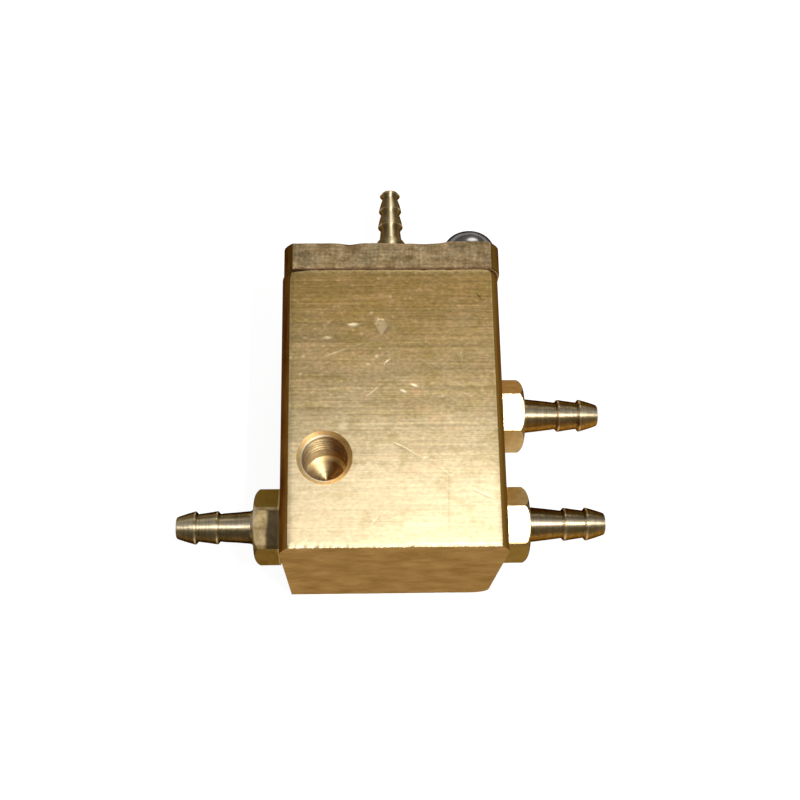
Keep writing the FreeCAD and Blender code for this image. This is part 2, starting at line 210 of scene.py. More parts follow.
def part_of(tree, place, axis, offset=None, share=0.0):
    """One coordinate, X, Y or Z. Noise given as an offset moves it by up to a share each way."""
    along = add_node(tree, "ShaderNodeSeparateXYZ", {0: place}).outputs[axis]
    if offset is not None:
        along = weighted(tree, along, from_noise(tree, offset, -1.0, 1.0), share)
    return along


def size_of(tree, value):
    return add_node(tree, "ShaderNodeMath", {0: value}, operation="ABSOLUTE").outputs[0]


def distance_from(tree, value, centre):
    """How far the value lies from a centre, on either side of it."""
    return size_of(tree, weighted(tree, value, 1.0, -centre))


def around(tree, place, centre, axis):
    """Direction round an axis, 0 for X, 1 for Y and 2 for Z, through a centre in metres."""
    values = {0: place, 1: centre}
    away = add_node(tree, "ShaderNodeVectorMath", values, operation="SUBTRACT").outputs[0]
    along = [0.0, 0.0, 0.0]
    along[axis] = 1.0
    values = {0: along, 1: away}
    return add_node(tree, "ShaderNodeVectorMath", values, operation="CROSS_PRODUCT").outputs[0]


def unit_of(tree, vector):
    return add_node(tree, "ShaderNodeVectorMath", {0: vector}, operation="NORMALIZE").outputs[0]


def metal(tree, output, colour, roughness, height=None, depth=0.0, edge=None, rings=None):
    """Metal shader. Height is a bump of a real depth in metres, edge the tint at grazing angles.

    Rings is the direction in which fine tool marks run: they spread a highlight across themselves.
    """
    values = {"Base Color": colour, "Metallic": 1.0, "Roughness": roughness}
    if edge:
        values["Specular Tint"] = linear(edge)
    if rings is not None:
        values.update({"Tangent": rings, "Anisotropic": 0.9, "Anisotropic Rotation": 0.25})
    if height is not None:
        values["Normal"] = add_node(
            tree, "ShaderNodeBump", {"Height": height, "Distance": depth, "Strength": 1.0}
        ).outputs[0]
    shader = add_node(tree, "ShaderNodeBsdfPrincipled", values)
    tree.links.new(shader.outputs[0], output.inputs["Surface"])


print("pattern helpers ready")

# %% [markdown]
# ## Milled brass of the front face
#
# The front face is bar brass that was milled flat. The cutter left fine straight
# lines across the bar, about 0.3 mm apart. Noise stretched along X draws them, at
# two spacings so that they don't look ruled. The colour runs along Y, lighter
# towards the bottom edge. Part of this is the brass dulled by handling, more so
# towards the cap. Part is painted light for the flash lamp's glow at the bottom of
# the face. Handling left soft blotches, and a mottle mixes a greener and a redder
# brass in. Dirt sits in the joint under the cap. The face's rim is painted pale:
# partly rubbed wear, partly a painted highlight where the edge catches the light.
# Nicks and scratches are in the mesh. Their attribute "bare" brightens them,
# because metal that was just scraped hasn't dulled yet, or darkens them where it
# is negative, because they are full of dirt.

# %% Milled brass
LINE_SPACING = 0.29 * MM
LINE_LENGTH = 17 * MM
STREAK_SPACING = 0.75 * MM
STREAK_LENGTH = 22 * MM
GRAIN_SIZE = 0.38 * MM
MOTTLE_SIZE = 1.4 * MM
BLOTCH_SIZE = 4 * MM
JOINT_Y = 19.3 * MM
FACE_EDGE_X = 13.75 * MM


def ragged_noise(tree, place):
    return stretched_noise(tree, place, (0.6 * MM,) * 3, 4.0, 0.7)


def joint_dirt(tree, place, side, reach):
    """Share of the dirt in the joint of cap and block, on side 1 above the joint or -1 below it."""
    along = part_of(tree, place, "Y", ragged_noise(tree, place), 0.2 * MM)
    return levels(tree, along, JOINT_Y + side * reach, JOINT_Y + side * 0.2 * reach, 0.0, 0.8)


def rim_wear_and_highlight(tree, place):
    """Share of the pale brass along the top and the sides of the front face: partly rubbed wear, partly
    a painted highlight where the edge catches the light.
    """
    ragged = ragged_noise(tree, place)
    along = part_of(tree, place, "Y", ragged, 0.3 * MM)
    top = levels(tree, along, JOINT_Y - 0.6 * MM, JOINT_Y - 0.3 * MM, 0.0, 0.7)
    across = size_of(tree, part_of(tree, place, "X"))
    across = weighted(tree, across, from_noise(tree, ragged, -1.0, 1.0), 0.12 * MM)
    side = levels(tree, across, FACE_EDGE_X - 0.3 * MM, FACE_EDGE_X - 0.1 * MM, 0.0, 0.5)
    both = add_node(tree, "ShaderNodeMath", {0: top, 1: side}, operation="MAXIMUM").outputs[0]
    return weighted(tree, 0.0, both, 0.5)


def make_milled_brass():
    material, tree, output, place = new_material("milled_brass")
    fine = stretched_noise(tree, place, (LINE_LENGTH, LINE_SPACING, LINE_LENGTH), 2.0, 0.6)
    streak = stretched_noise(tree, place, (STREAK_LENGTH, STREAK_SPACING, STREAK_LENGTH), 3.0, 0.6)
    grain = stretched_noise(tree, place, (GRAIN_SIZE * 1.6, GRAIN_SIZE, GRAIN_SIZE), 3.0, 0.65)
    mottle = stretched_noise(tree, place, (MOTTLE_SIZE * 1.5, MOTTLE_SIZE, MOTTLE_SIZE), 4.0, 0.6)
    blotch = stretched_noise(tree, place, (BLOTCH_SIZE * 1.5, BLOTCH_SIZE, BLOTCH_SIZE), 3.0, 0.6)
    # The colour along Y is partly dulling by handling and partly painted light: lighter towards the
    # bottom edge, a painted glow of the flash lamp.
    dulling_and_glow = levels(tree, part_of(tree, place, "Y"), -19 * MM, 19 * MM)
    dulling_and_glow = weighted(tree, dulling_and_glow, from_noise(tree, blotch, -1.0, 1.0), 0.08)
    plain = ramp(tree, dulling_and_glow, ((0.22, "#e0cda6"), (0.48, "#bca77d"), (0.9, "#ad8f58")))
    colour = tinted(tree, plain, mottle, 0.50, 0.34, 0.45, "#a08848")
    colour = tinted(tree, colour, mottle, 0.52, 0.68, 0.35, "#d4ac80")
    colour = scaled(tree, colour, from_noise(tree, fine, 0.80, 1.17))
    colour = scaled(tree, colour, levels(tree, streak, 0.3, 0.6, 0.90, 1.05))
    colour = scaled(tree, colour, from_noise(tree, grain, 0.78, 1.24))
    colour = tinted(tree, colour, grain, 0.66, 0.76, 0.6, "#f4e2ba")
    # Towards the bottom, the tool marks fade into the plain colour. This is part of the painted glow.
    colour = mixed(tree, levels(tree, dulling_and_glow, 0.5, 0.2, 0.0, 0.45), colour, plain)
    bare = add_node(tree, "ShaderNodeAttribute", attribute_name="bare").outputs["Fac"]
    colour = tinted(tree, colour, bare, 0.0, 1.0, 0.8, "#fcecc8")
    colour = tinted(tree, colour, bare, 0.0, -1.0, 0.9, "#5a4420")
    # Pale rim: partly rubbed wear, partly a painted highlight along the face's edges.
    colour = mixed(tree, rim_wear_and_highlight(tree, place), colour, linear("#f2dca6"))
    colour = mixed(tree, joint_dirt(tree, place, -1, 0.14 * MM), colour, linear("#8c6c48"))
    height = weighted(tree, weighted(tree, fine, streak, 0.6), grain, 0.3)
    metal(tree, output, colour, from_noise(tree, blotch, 0.50, 0.58), height, 0.008 * MM)
    return material


milled_brass = make_milled_brass()
print("milled brass:", len(milled_brass.node_tree.nodes), "nodes")

# %% [markdown]
# ## Bar brass of the sides, and sawn brass of the ends
#
# The sides and the big front roundings are the skin of the drawn bar, with faint
# draw lines along the bar. Their dark brown is partly the skin browned by age and
# partly painted shade for the dark surroundings that these faces mirror. The side
# with two fittings is painted lighter, as painted light for the flash lamp on that
# side. The joint under the cap shows as a dark line. The bottom end was sawn and
# filed: it is matt, with short marks across it.

# %% Bar brass and sawn brass
def make_bar_brass():
    material, tree, output, place = new_material("drawn_bar_brass")
    draw = stretched_noise(tree, place, (0.22 * MM, 20 * MM, 0.22 * MM), 2.0)
    cloud = stretched_noise(tree, place, (3 * MM, 7 * MM, 3 * MM), 5.0, 0.6)
    along = part_of(tree, place, "Y")
    # The dark brown of the skin is partly age and partly painted shade for the dark surroundings it
    # mirrors.
    colour = mixed(tree, levels(tree, cloud, 0.32, 0.68), linear("#654825"), linear("#8a6a3c"))
    colour = scaled(tree, colour, levels(tree, along, -6 * MM, 19 * MM, 1.0, 0.62))
    # The +X side is painted lighter: painted light for the flash lamp on that side.
    lamp_side_light = levels(tree, part_of(tree, place, "X"), 2 * MM, 14 * MM, 0.0, 0.85)
    lamp_side_light = weighted(tree, 0.0, lamp_side_light, levels(tree, along, 18 * MM, 20 * MM, 1.0, 0.55))
    colour = mixed(tree, lamp_side_light, colour, linear("#937845"))
    colour = tinted(tree, colour, draw, 0.5, 0.8, 0.4, "#a8844e")
    joint = distance_from(tree, along, JOINT_Y)
    colour = tinted(tree, colour, joint, 0.35 * MM, 0.08 * MM, 0.75, "#38240e")
    metal(tree, output, colour, from_noise(tree, cloud, 0.4, 0.5), draw, 0.006 * MM, "#6e5232")
    return material


def make_sawn_brass():
    material, tree, output, place = new_material("sawn_brass")
    marks = stretched_noise(tree, place, (2.5 * MM, 1.0 * MM, 0.35 * MM), 3.0, 0.6)
    cloud = stretched_noise(tree, place, (4 * MM,) * 3, 5.0, 0.6)
    colour = clouded(tree, cloud, "#a88858", "#c2a06c")
    colour = tinted(tree, colour, marks, 0.5, 0.25, 0.6, "#8a6c42")
    metal(tree, output, colour, from_noise(tree, marks, 0.55, 0.68), marks, 0.02 * MM, "#a07c50")
    return material


bar_brass = make_bar_brass()
sawn_brass = make_sawn_brass()
for finish in (bar_brass, sawn_brass):
    print(finish.name, len(finish.node_tree.nodes), "nodes")

# %% [markdown]
# ## Dull cap brass
#
# The cap plate is a separate slice of bar. It is greyer and blotchier than the
# block. File marks run across its front both ways, and a band of brown dirt sits
# above the joint, where it is rougher too. It gets a little darker to the right.

# %% Cap brass
def make_cap_brass():
    material, tree, output, place = new_material("filed_cap_brass")
    cloud = stretched_noise(tree, place, (1.6 * MM, 1.1 * MM, 1.6 * MM), 3.0, 0.5)
    filed = stretched_noise(tree, place, (3.5 * MM, 0.3 * MM, 3.5 * MM), 2.0, 0.6)
    crossed = stretched_noise(tree, place, (0.34 * MM, 3 * MM, 3 * MM), 2.0, 0.6)
    grain = stretched_noise(tree, place, (0.4 * MM,) * 3, 2.0, 0.6)
    wide = stretched_noise(tree, place, (5 * MM,) * 3, 3.0)
    colour = ramp(tree, cloud, ((0.3, "#8b734b"), (0.5, "#af966e"), (0.7, "#c6ad84")))
    colour = tinted(tree, colour, wide, 0.5, 0.35, 0.6, "#85795c")
    for marks, darkest, lightest in ((filed, 0.8, 1.18), (crossed, 0.82, 1.16), (grain, 0.74, 1.26)):
        colour = scaled(tree, colour, from_noise(tree, marks, darkest, lightest))
    dirt = joint_dirt(tree, place, 1, 0.5 * MM)
    colour = mixed(tree, dirt, colour, linear("#98785c"))
    to_right = levels(tree, part_of(tree, place, "X"), 2 * MM, 13 * MM, 1.02, 0.88)
    rough = weighted(tree, from_noise(tree, cloud, 0.62, 0.52), dirt, 0.4)
    metal(tree, output, scaled(tree, colour, to_right), rough, grain, 0.004 * MM)
    return material


cap_brass = make_cap_brass()
print("cap brass:", len(cap_brass.node_tree.nodes), "nodes")

# %% [markdown]
# ## Turned brass
#
# The fittings and the bores were cut on a lathe or drilled. The tool leaves rings
# round the axis of each piece. They are planes across that axis, so the stretched
# noise has its short side along it. The rings also spread a highlight into a line
# along the stem. On the three side fittings, a pale colour along the front and back
# of the stem is a painted highlight that widens this line. The flanks beside it are
# painted darker, each fitting in its own colour, as painted shade for the dark
# surroundings they mirror. On the two right fittings, the flank towards the cap gets
# more painted shade, against the far lamp. The mounting hole has painted shade on
# its right wall, away from the flash lamp. It has painted highlights at the upper
# right of the corner that the drill left and along the left of the countersink's
# lip. Where the countersink was cut, it is pale brass, painted lighter on its left,
# the side that faces the flash lamp.

# %% Turned brass
RING_SPACING = 0.2 * MM
LOWER_PORT_Y = -12.6
UPPER_PORT_Y = 3.6
AXIS_Z = 17.25
PILOT_X = 0.5
HOLE_X, HOLE_Y = -9.0, -7.3
SINK_FOOT = 33.85
DRILL_CORNER = SINK_FOOT - 9.2
# Painted highlight colours for the front and back of a stem, by the stem's axis.
PAINTED_HIGHLIGHT_LINE = {0: "#fdeccc", 1: "#e8d6b0"}
RIM_BRASS = "#ecd2a0"


def paint_hole(tree, place, unit, cloud, colour, rough):
    """Colour and roughness of the mounting hole, whose axis runs along Z, with painted shade and
    painted highlights.

    The direction round that axis has the way to the right as its Y, and the way down as its X.
    """
    right, down = part_of(tree, unit, "Y"), part_of(tree, unit, "X")
    height = part_of(tree, place, "Z")
    # Painted shade: the right wall, which faces away from the flash lamp, is darkened brown.
    shaded_right_wall = levels(tree, right, -0.1, 0.4, 0.0, 0.75)
    colour = mixed(tree, shaded_right_wall, colour, linear("#8a5420"))
    # Painted highlight: a bright ring at the drill's corner, on its upper right.
    corner = distance_from(tree, height, DRILL_CORNER * MM)
    corner = levels(tree, corner, 0.5 * MM, 0.3 * MM, 0.0, 0.9)
    corner_highlight_side = levels(tree, weighted(tree, right, down, -0.6), 0.2, 0.7)
    colour = mixed(tree, weighted(tree, 0.0, corner, corner_highlight_side), colour, linear("#ffe09a"))
    sink = levels(tree, height, SINK_FOOT * MM, (SINK_FOOT + 0.08) * MM)
    # The countersink is pale brass, painted lighter on its left, the side that faces the flash lamp:
    # painted light.
    lit_countersink = mixed(tree, levels(tree, right, -0.9, 0.6), linear("#ffdc9c"), linear("#d8ac68"))
    lit_countersink = scaled(tree, lit_countersink, levels(tree, cloud, 0.35, 0.65, 0.78, 1.12))
    colour = mixed(tree, sink, colour, lit_countersink)
    # Painted highlight: a pale line along the countersink's inner lip, kept off the shaded right wall.
    lip_highlight = distance_from(tree, height, (SINK_FOOT + 0.06) * MM)
    lip_highlight = {0: levels(tree, lip_highlight, 0.14 * MM, 0.06 * MM, 0.0, 0.8), 1: shaded_right_wall}
    lip_highlight = add_node(tree, "ShaderNodeMath", lip_highlight, operation="SUBTRACT", use_clamp=True).outputs[0]
    colour = mixed(tree, lip_highlight, colour, linear("#fff6dc"))
    return colour, weighted(tree, rough, sink, 0.25)


def make_turned_brass(name, axis, centre, finish, edge, side=None, rims=(), upper=None, hole=False):
    """Turned brass with tool rings round the given axis, 0 for X, 1 for Y and 2 for Z.

    The finish is (dark colour, light colour, lowest and highest roughness, ring depth). When a
    side colour is given, the front and back of the stem are painted pale as a painted highlight,
    and the side colour is painted shade on both flanks. The upper one is more painted shade on
    the flank at +Y. A rim is the place of a barb's edge along the axis, which is rubbed pale.
    """
    material, tree, output, place = new_material(name)
    dark, light, smoothest, roughest, depth = finish
    size = [6 * MM] * 3
    size[axis] = RING_SPACING
    rings = stretched_noise(tree, place, size, 2.0)
    cloud = stretched_noise(tree, place, (1.4 * MM,) * 3, 5.0, 0.65)
    grain = stretched_noise(tree, place, (0.3 * MM,) * 3, 2.0)
    direction = around(tree, place, [c * MM for c in centre], axis)
    colour = clouded(tree, cloud, dark, light)
    if side:
        flank = part_of(tree, unit_of(tree, direction), "Z")
        away = size_of(tree, flank)
        # Painted highlight: the front and back of the stem are painted pale, to widen the lamp's line.
        colour = tinted(tree, colour, away, 0.45, 0.05, 0.9, PAINTED_HIGHLIGHT_LINE[axis])
        # Painted shade: the flanks are darkened for the dark surroundings they mirror.
        colour = tinted(tree, colour, away, 0.38, 0.8, 0.88, side)
        if upper:
            # More painted shade on the flank towards the cap, against the far lamp's light.
            colour = tinted(tree, colour, flank, 0.05, 0.27, 0.75, upper)
    colour = scaled(tree, colour, from_noise(tree, rings, 0.82, 1.18))
    for rim in rims:
        away = distance_from(tree, part_of(tree, place, "XYZ"[axis]), rim * MM)
        colour = tinted(tree, colour, away, 0.18 * MM, 0.06 * MM, 0.55, RIM_BRASS)
    rough = levels(tree, grain, 0.35, 0.65, smoothest, roughest)
    if hole:
        unit = unit_of(tree, direction)
        colour, rough = paint_hole(tree, place, unit, cloud, colour, rough)
    metal(tree, output, colour, rough, rings, depth * MM, edge, direction)
    return material


LOWER_AXIS = (0, LOWER_PORT_Y, AXIS_Z)
UPPER_AXIS = (0, UPPER_PORT_Y, AXIS_Z)
PILOT_AXIS = (PILOT_X, 0, AXIS_Z)
LEFT_RIMS = (-24.47, -27.57)
RIGHT_RIMS = (24.47, 27.57)
PILOT_RIMS = (34.12, 36.82, 39.46)
FITTING = ("#a28c60", "#beaa7c", 0.34, 0.58, 0.01)
PILOT = ("#a08a5c", "#bca878", 0.38, 0.60, 0.01)
DRILLED = ("#dcbc84", "#f0d8a4", 0.40, 0.5, 0.03)
# The side and upper colours given below are painted flank shade, each fitting's own.
inlet_brass = make_turned_brass(
    "inlet_brass", 0, LOWER_AXIS, FITTING, "#241808", "#4e3616", LEFT_RIMS
)
through_brass = make_turned_brass(
    "through_brass", 0, LOWER_AXIS, FITTING, "#302008", "#8a6024", RIGHT_RIMS, "#503a18"
)
outlet_brass = make_turned_brass(
    "outlet_brass", 0, UPPER_AXIS, FITTING, "#302008", "#9a6a28", RIGHT_RIMS, "#5a4018"
)
pilot_brass = make_turned_brass(
    "pilot_brass", 1, PILOT_AXIS, PILOT, "#302010", "#6e5028", PILOT_RIMS
)
bore_brass = make_turned_brass("bored_brass", 1, (0, 0, AXIS_Z), DRILLED, "#906828")
hole_brass = make_turned_brass(
    "drilled_brass", 2, (HOLE_X, HOLE_Y, 0), DRILLED, "#906828", hole=True
)
print("turned brass of a fitting:", len(outlet_brass.node_tree.nodes), "nodes")

# %% [markdown]
# ## Hexagon bar
#
# The flats of each hexagon are the skin of the bar, which the lathe never touched.
# The flats above and below the middle one are painted colours of their own, and
# each hexagon is its own lighter or darker brass. These are painted light and shade
# for how each flat faces the lamps. The edge beside the washer shows paler.

# %% Hexagon brass
UPPER_CORNER, LOWER_CORNER = 1.8, -3.4
CORNER_SOFTNESS = 0.1
SEAM_X = 15.9


def make_hexagon_brass(name, dark, light, edge, upper=None, lower=None, axis_y=None):
    """Flats of a hexagon. The upper and lower colours are painted light and shade on the flats above
    and below the middle one, and need the height of the fitting's axis.
    """
    material, tree, output, place = new_material(name)
    cloud = stretched_noise(tree, place, (1.2 * MM,) * 3, 5.0, 0.65)
    colour = clouded(tree, cloud, dark, light)
    if axis_y is not None:
        along = part_of(tree, place, "Y")
        # Painted light and shade: the flats above and below the middle one get their own colours.
        for offset, soft, flat in (
            (UPPER_CORNER, CORNER_SOFTNESS, upper),
            (LOWER_CORNER, -CORNER_SOFTNESS, lower),
        ):
            corner = axis_y + offset
            colour = tinted(tree, colour, along, (corner - soft) * MM, (corner + soft) * MM, 1.0, flat)
        colour = scaled(tree, colour, from_noise(tree, cloud, 0.82, 1.18))
        across = size_of(tree, part_of(tree, place, "X"))
        colour = tinted(tree, colour, across, SEAM_X * MM, (SEAM_X - 0.1) * MM, 0.45, "#d8c08c")
    metal(tree, output, colour, from_noise(tree, cloud, 0.32, 0.42), cloud, 0.004 * MM, edge)
    return material


# Each hexagon's colours are painted light and shade for how it faces the lamps.
inlet_flats = make_hexagon_brass(
    "inlet_hexagon_brass", "#98825a", "#b09a72", "#3a2810", "#7e6638", "#8e7448", LOWER_PORT_Y
)
through_flats = make_hexagon_brass(
    "through_hexagon_brass", "#b8a27c", "#c8b48e", "#d0b078", "#d8c694", "#806840", LOWER_PORT_Y
)
outlet_flats = make_hexagon_brass(
    "outlet_hexagon_brass", "#c8b084", "#dcc69e", "#906830", "#b4946a", "#c9a874", UPPER_PORT_Y
)
pilot_flats = make_hexagon_brass("pilot_hexagon_brass", "#8e764a", "#ad9668", "#3a2810")
print("hexagon brass:", len(outlet_flats.node_tree.nodes), "nodes")

# %% [markdown]
# ## Steel, rubber and fibre
#
# The cap screws are nickel plated, with a faint haze. The plated heads are painted
# dark below a height just under the front face, so only the top of the front head
# stays bright. This is painted shade for the dark surroundings that the head's rim
# mirrors. The spring washers and the return spring are plain spring steel, and the
# stem is ground. The seals are moulded rubber, and the sealing washers are pressed
# fibre that has soaked up oil.

# %% Steel, rubber and fibre
STEEL_EDGE = "#1c1a18"
SHADE_START_Z, SHADE_FULL_Z = 32.6, 31.4


def make_steel(name, dark, light, smoothest, roughest, size, depth, rim_shade=None):
    """Steel with a fine grain. The last colour, when given, is painted shade on a plated head below a
    height near the front face.
    """
    material, tree, output, place = new_material(name)
    grain = stretched_noise(tree, place, size, 4.0, 0.6)
    colour = clouded(tree, grain, dark, light)
    if rim_shade:
        height = part_of(tree, place, "Z")
        # Painted shade: below this height, a plated head turns dark.
        colour = tinted(tree, colour, height, SHADE_START_Z * MM, SHADE_FULL_Z * MM, 0.7, rim_shade)
    metal(tree, output, colour, from_noise(tree, grain, smoothest, roughest), grain, depth, STEEL_EDGE)
    return material


def make_dull(name, dark, light, roughness, grain_size, depth):
    """A material that isn't metal, with a mottled colour and a fine relief."""
    material, tree, output, place = new_material(name)
    grain = stretched_noise(tree, place, grain_size, 5.0, 0.65)
    bump = add_node(tree, "ShaderNodeBump", {"Height": grain, "Distance": depth, "Strength": 1.0})
    values = {"Base Color": clouded(tree, grain, dark, light), "Roughness": roughness}
    values["Normal"] = bump.outputs[0]
    shader = add_node(tree, "ShaderNodeBsdfPrincipled", values)
    tree.links.new(shader.outputs[0], output.inputs["Surface"])
    return material


# The last colour of the nickel is painted shade towards each head's rim.
nickel_plate = make_steel(
    "nickel_plate", "#8c8885", "#a09c99", 0.2, 0.26, (1.2 * MM,) * 3, 0.001 * MM, "#4c4a4a"
)
spring_steel = make_steel(
    "spring_steel", "#6e6b66", "#8a8783", 0.32, 0.42, (0.5 * MM,) * 3, 0.004 * MM
)
ground_steel = make_steel(
    "ground_stainless_steel", "#9b9a98", "#b8b7b4", 0.2, 0.3, (3 * MM, 0.15 * MM, 3 * MM), 0.003 * MM
)
moulded_rubber = make_dull("moulded_rubber", "#161616", "#222120", 0.6, (0.3 * MM,) * 3, 0.004 * MM)
pressed_fibre = make_dull("pressed_fibre", "#8e764c", "#b09a6c", 0.75, (0.4 * MM,) * 3, 0.02 * MM)
print("steel, rubber and fibre:", len(bpy.data.materials), "materials so far")

# %% [markdown]
# ## Shaping by hand, in code
#
# An operator acts on all that is selected, so every start clears the selection
# first. Faces and edges are then picked by their place or direction, as one would
# click on them. A turned piece is drawn as on a lathe: one vertex is extruded
# along the outline of half the section, and the outline is spun once round.

# %% Modelling helpers
SPIN_STEPS = 72
DOUBLES = 0.0005


def only(piece):
    """Make this the only selected object, and the active one."""
    bpy.ops.object.select_all(action="DESELECT")
    piece.select_set(True)
    bpy.context.view_layer.objects.active = piece


def edit(piece, kind="VERT"):
    """Edit mode with nothing selected, picking vertices, edges or faces."""
    only(piece)
    bpy.ops.object.mode_set(mode="EDIT")
    bpy.ops.mesh.select_mode(type=kind)
    bpy.ops.mesh.select_all(action="DESELECT")


def leave_edit():
    bpy.ops.object.mode_set(mode="OBJECT")


def select_all():
    bpy.ops.mesh.select_all(action="SELECT")


def face_outwards():
    """Turn the faces of the piece being edited to point outwards, and leave it."""
    select_all()
    bpy.ops.mesh.normals_make_consistent(inside=False)
    leave_edit()


def pick(piece, kind, test):
    """Edit mode with only the vertices, edges or faces selected that pass the test."""
    edit(piece, kind)
    leave_edit()
    parts = {"VERT": piece.data.vertices, "EDGE": piece.data.edges, "FACE": piece.data.polygons}[kind]
    for part in parts:
        part.select = bool(test(part))
    bpy.ops.object.mode_set(mode="EDIT")


def draw_outline(name, points):
    """One vertex extruded from point to point, in millimetres. Leaves the piece in edit mode."""
    bpy.ops.object.select_all(action="DESELECT")
    bpy.ops.mesh.primitive_plane_add(size=1 * MM)
    piece = bpy.context.object
    piece.name = piece.data.name = name
    bpy.ops.object.mode_set(mode="EDIT")
    bpy.ops.mesh.select_mode(type="VERT")
    select_all()
    bpy.ops.mesh.merge(type="CENTER")
    points = [Vector(point) * MM for point in points]
    bpy.ops.transform.translate(value=points[0])
    for before, after in zip(points, points[1:]):
        bpy.ops.mesh.extrude_region_move(TRANSFORM_OT_translate={"value": after - before})
    return piece


def draw_out(shift):
    """Fill the outline that was just drawn, and extrude it by a shift in millimetres."""
    select_all()
    bpy.ops.mesh.edge_face_add()
    bpy.ops.mesh.extrude_region_move(TRANSFORM_OT_translate={"value": [v * MM for v in shift]})


def turned(name, outline, steps, material, place=None):
    """Solid of revolution about Z, from (radius, height) points that close on themselves or on Z.

    A matrix given as the place puts it there.
    """
    piece = draw_outline(name, [(radius, 0, height) for radius, height in outline])
    select_all()
    bpy.ops.mesh.spin(steps=steps, angle=2 * math.pi, center=(0, 0, 0), axis=(0, 0, 1))
    select_all()
    bpy.ops.mesh.remove_doubles(threshold=DOUBLES * MM)
    face_outwards()
    piece.data.materials.append(material)
    if place:
        put(piece, place)
    return piece


def rod(radius, low, high):
    """Outline of a plain cylinder."""
    return [(0, low), (radius, low), (radius, high), (0, high)]


def arc(centre, radius, start, end, count):
    """Points of an arc, in the outline's own two directions, angles in degrees."""
    angles = [math.radians(start + (end - start) * i / count) for i in range(count + 1)]
    return [(centre[0] + radius * math.cos(a), centre[1] + radius * math.sin(a)) for a in angles]


def modify(piece, kind, **settings):
    """Add a modifier with its settings and apply it."""
    only(piece)
    modifier = piece.modifiers.new(kind.lower(), kind)
    for key, value in settings.items():
        setattr(modifier, key, value)
    bpy.ops.object.modifier_apply(modifier=modifier.name)


def combine(piece, tool, operation):
    """Cut with, join to or keep the overlap with another closed mesh, which is then removed."""
    exact = {"solver": "EXACT", "material_mode": "TRANSFER"}
    modify(piece, "BOOLEAN", operation=operation, object=tool, **exact)
    bpy.data.objects.remove(tool)


def put(piece, matrix):
    """Place the piece in its own mesh, so that its object stays at the origin."""
    only(piece)
    piece.matrix_world = matrix
    bpy.ops.object.transform_apply(location=True, rotation=True, scale=True)


def smooth(piece, angle=35):
    only(piece)
    bpy.ops.object.shade_smooth_by_angle(angle=math.radians(angle))
    modify(piece, "WEIGHTED_NORMAL", keep_sharp=True)


def copy_of(piece, name):
    """A copy with a mesh of its own."""
    twin = piece.copy()
    twin.data = piece.data.copy()
    twin.name = twin.data.name = name
    bpy.context.scene.collection.objects.link(twin)
    return twin


def axes(x, y, z, base):
    """Matrix that turns a piece's own X, Y and Z to these directions, at a base in millimetres."""
    turn = Matrix((x, y, z)).transposed().to_4x4()
    return Matrix.Translation(Vector(base) * MM) @ turn


def upright(x, y, z):
    """Matrix that stands a piece drawn along +Z up along +Y, at a place in millimetres."""
    return axes((1, 0, 0), (0, 0, -1), (0, 1, 0), (x, y, z))


def sideways(side, x, y):
    """Matrix that lays a piece drawn along +Z out to the right for side 1, to the left for -1."""
    return axes((0, -side, 0), (0, 0, -1), (side, 0, 0), (x, y, AXIS_Z))


def tell(piece):
    print(piece.name, len(piece.data.polygons), "faces")


def finish_piece(piece, slot, *nodes):
    """Hide the CAD pieces that the piece stands for, and attach it to the housing that it rides on. The
    slot is not used.
    """
    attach(piece, "housing")
    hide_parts(*nodes)
    tell(piece)


block_low, block_high = [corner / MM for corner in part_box("valve_block")]
cap_low, cap_high = [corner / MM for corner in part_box("cap_plate")]
print("block from", block_low, "to", block_high)

# %% [markdown]
# ## The bar
#
# Block and cap are two lengths of the same bar, so one function draws both. Its
# section is outlined and filled, then drawn out along Y. The front edges are wide
# shallow roundings, and one rear corner is rounded. The sharp edges get a small
# bevel. Bisecting it by rows of planes gives a mesh fine enough to be worn.

# %% Bar helper
FRONT_INSET = 1.25
FRONT_RUN = 4.4
REAR_ROUND = 3.0
MESH_STEP = 0.65
FINE_DEPTH = 6.0
EDGE_BEVEL = 0.10
CURVE_STEPS = 6
SHARP_ANGLE = 25


def front_curve(inset, run):
    """The rounding of a front edge, as (way in, way back) points from the side to the front."""
    radius = (inset**2 + run**2) / (2 * inset)
    sweep = math.degrees(math.asin(run / radius))
    return [(radius + x, run - z) for x, z in arc((0, 0), radius, 180, 180 - sweep, CURVE_STEPS)]


def bar_outline(left, right, rear, front, curve):
    """Outline of the bar's section as (x, z) points, round from the rear left corner."""
    points = [(left, rear)]
    points += [(left + inset, front - back) for inset, back in curve]
    points += [(right - inset, front - back) for inset, back in reversed(curve)]
    points += arc((right - REAR_ROUND, rear + REAR_ROUND), REAR_ROUND, 0, -90, 8)
    return points


def cut_planes(low, high, axis):
    """Cut the piece being edited by evenly spaced planes across an axis."""
    count = round((high - low) / MESH_STEP)
    for i in range(1, count):
        place = [0, 0, 0]
        normal = [0, 0, 0]
        place[axis] = (low + (high - low) * i / count) * MM
        normal[axis] = 1
        select_all()
        bpy.ops.mesh.bisect(plane_co=place, plane_no=normal, threshold=0.001 * MM)


def bar(name, left, right, low, high, rear, front, curve):
    """A length of bar from low to high, cut fine enough for its edges to be worn."""
    outline = [(x, low, z) for x, z in bar_outline(left, right, rear, front, curve)]
    piece = draw_outline(name, outline)
    draw_out((0, high - low, 0))
    face_outwards()
    edit(piece, "EDGE")
    bpy.ops.mesh.edges_select_sharp(sharpness=math.radians(SHARP_ANGLE))
    bpy.ops.mesh.bevel(offset=EDGE_BEVEL * MM, segments=2, affect="EDGES", profile=0.5)
    bpy.ops.mesh.select_mode(type="VERT")
    cut_planes(low, high, 1)
    cut_planes(left, right, 0)
    cut_planes(front - FINE_DEPTH, front, 2)
    leave_edit()
    return piece


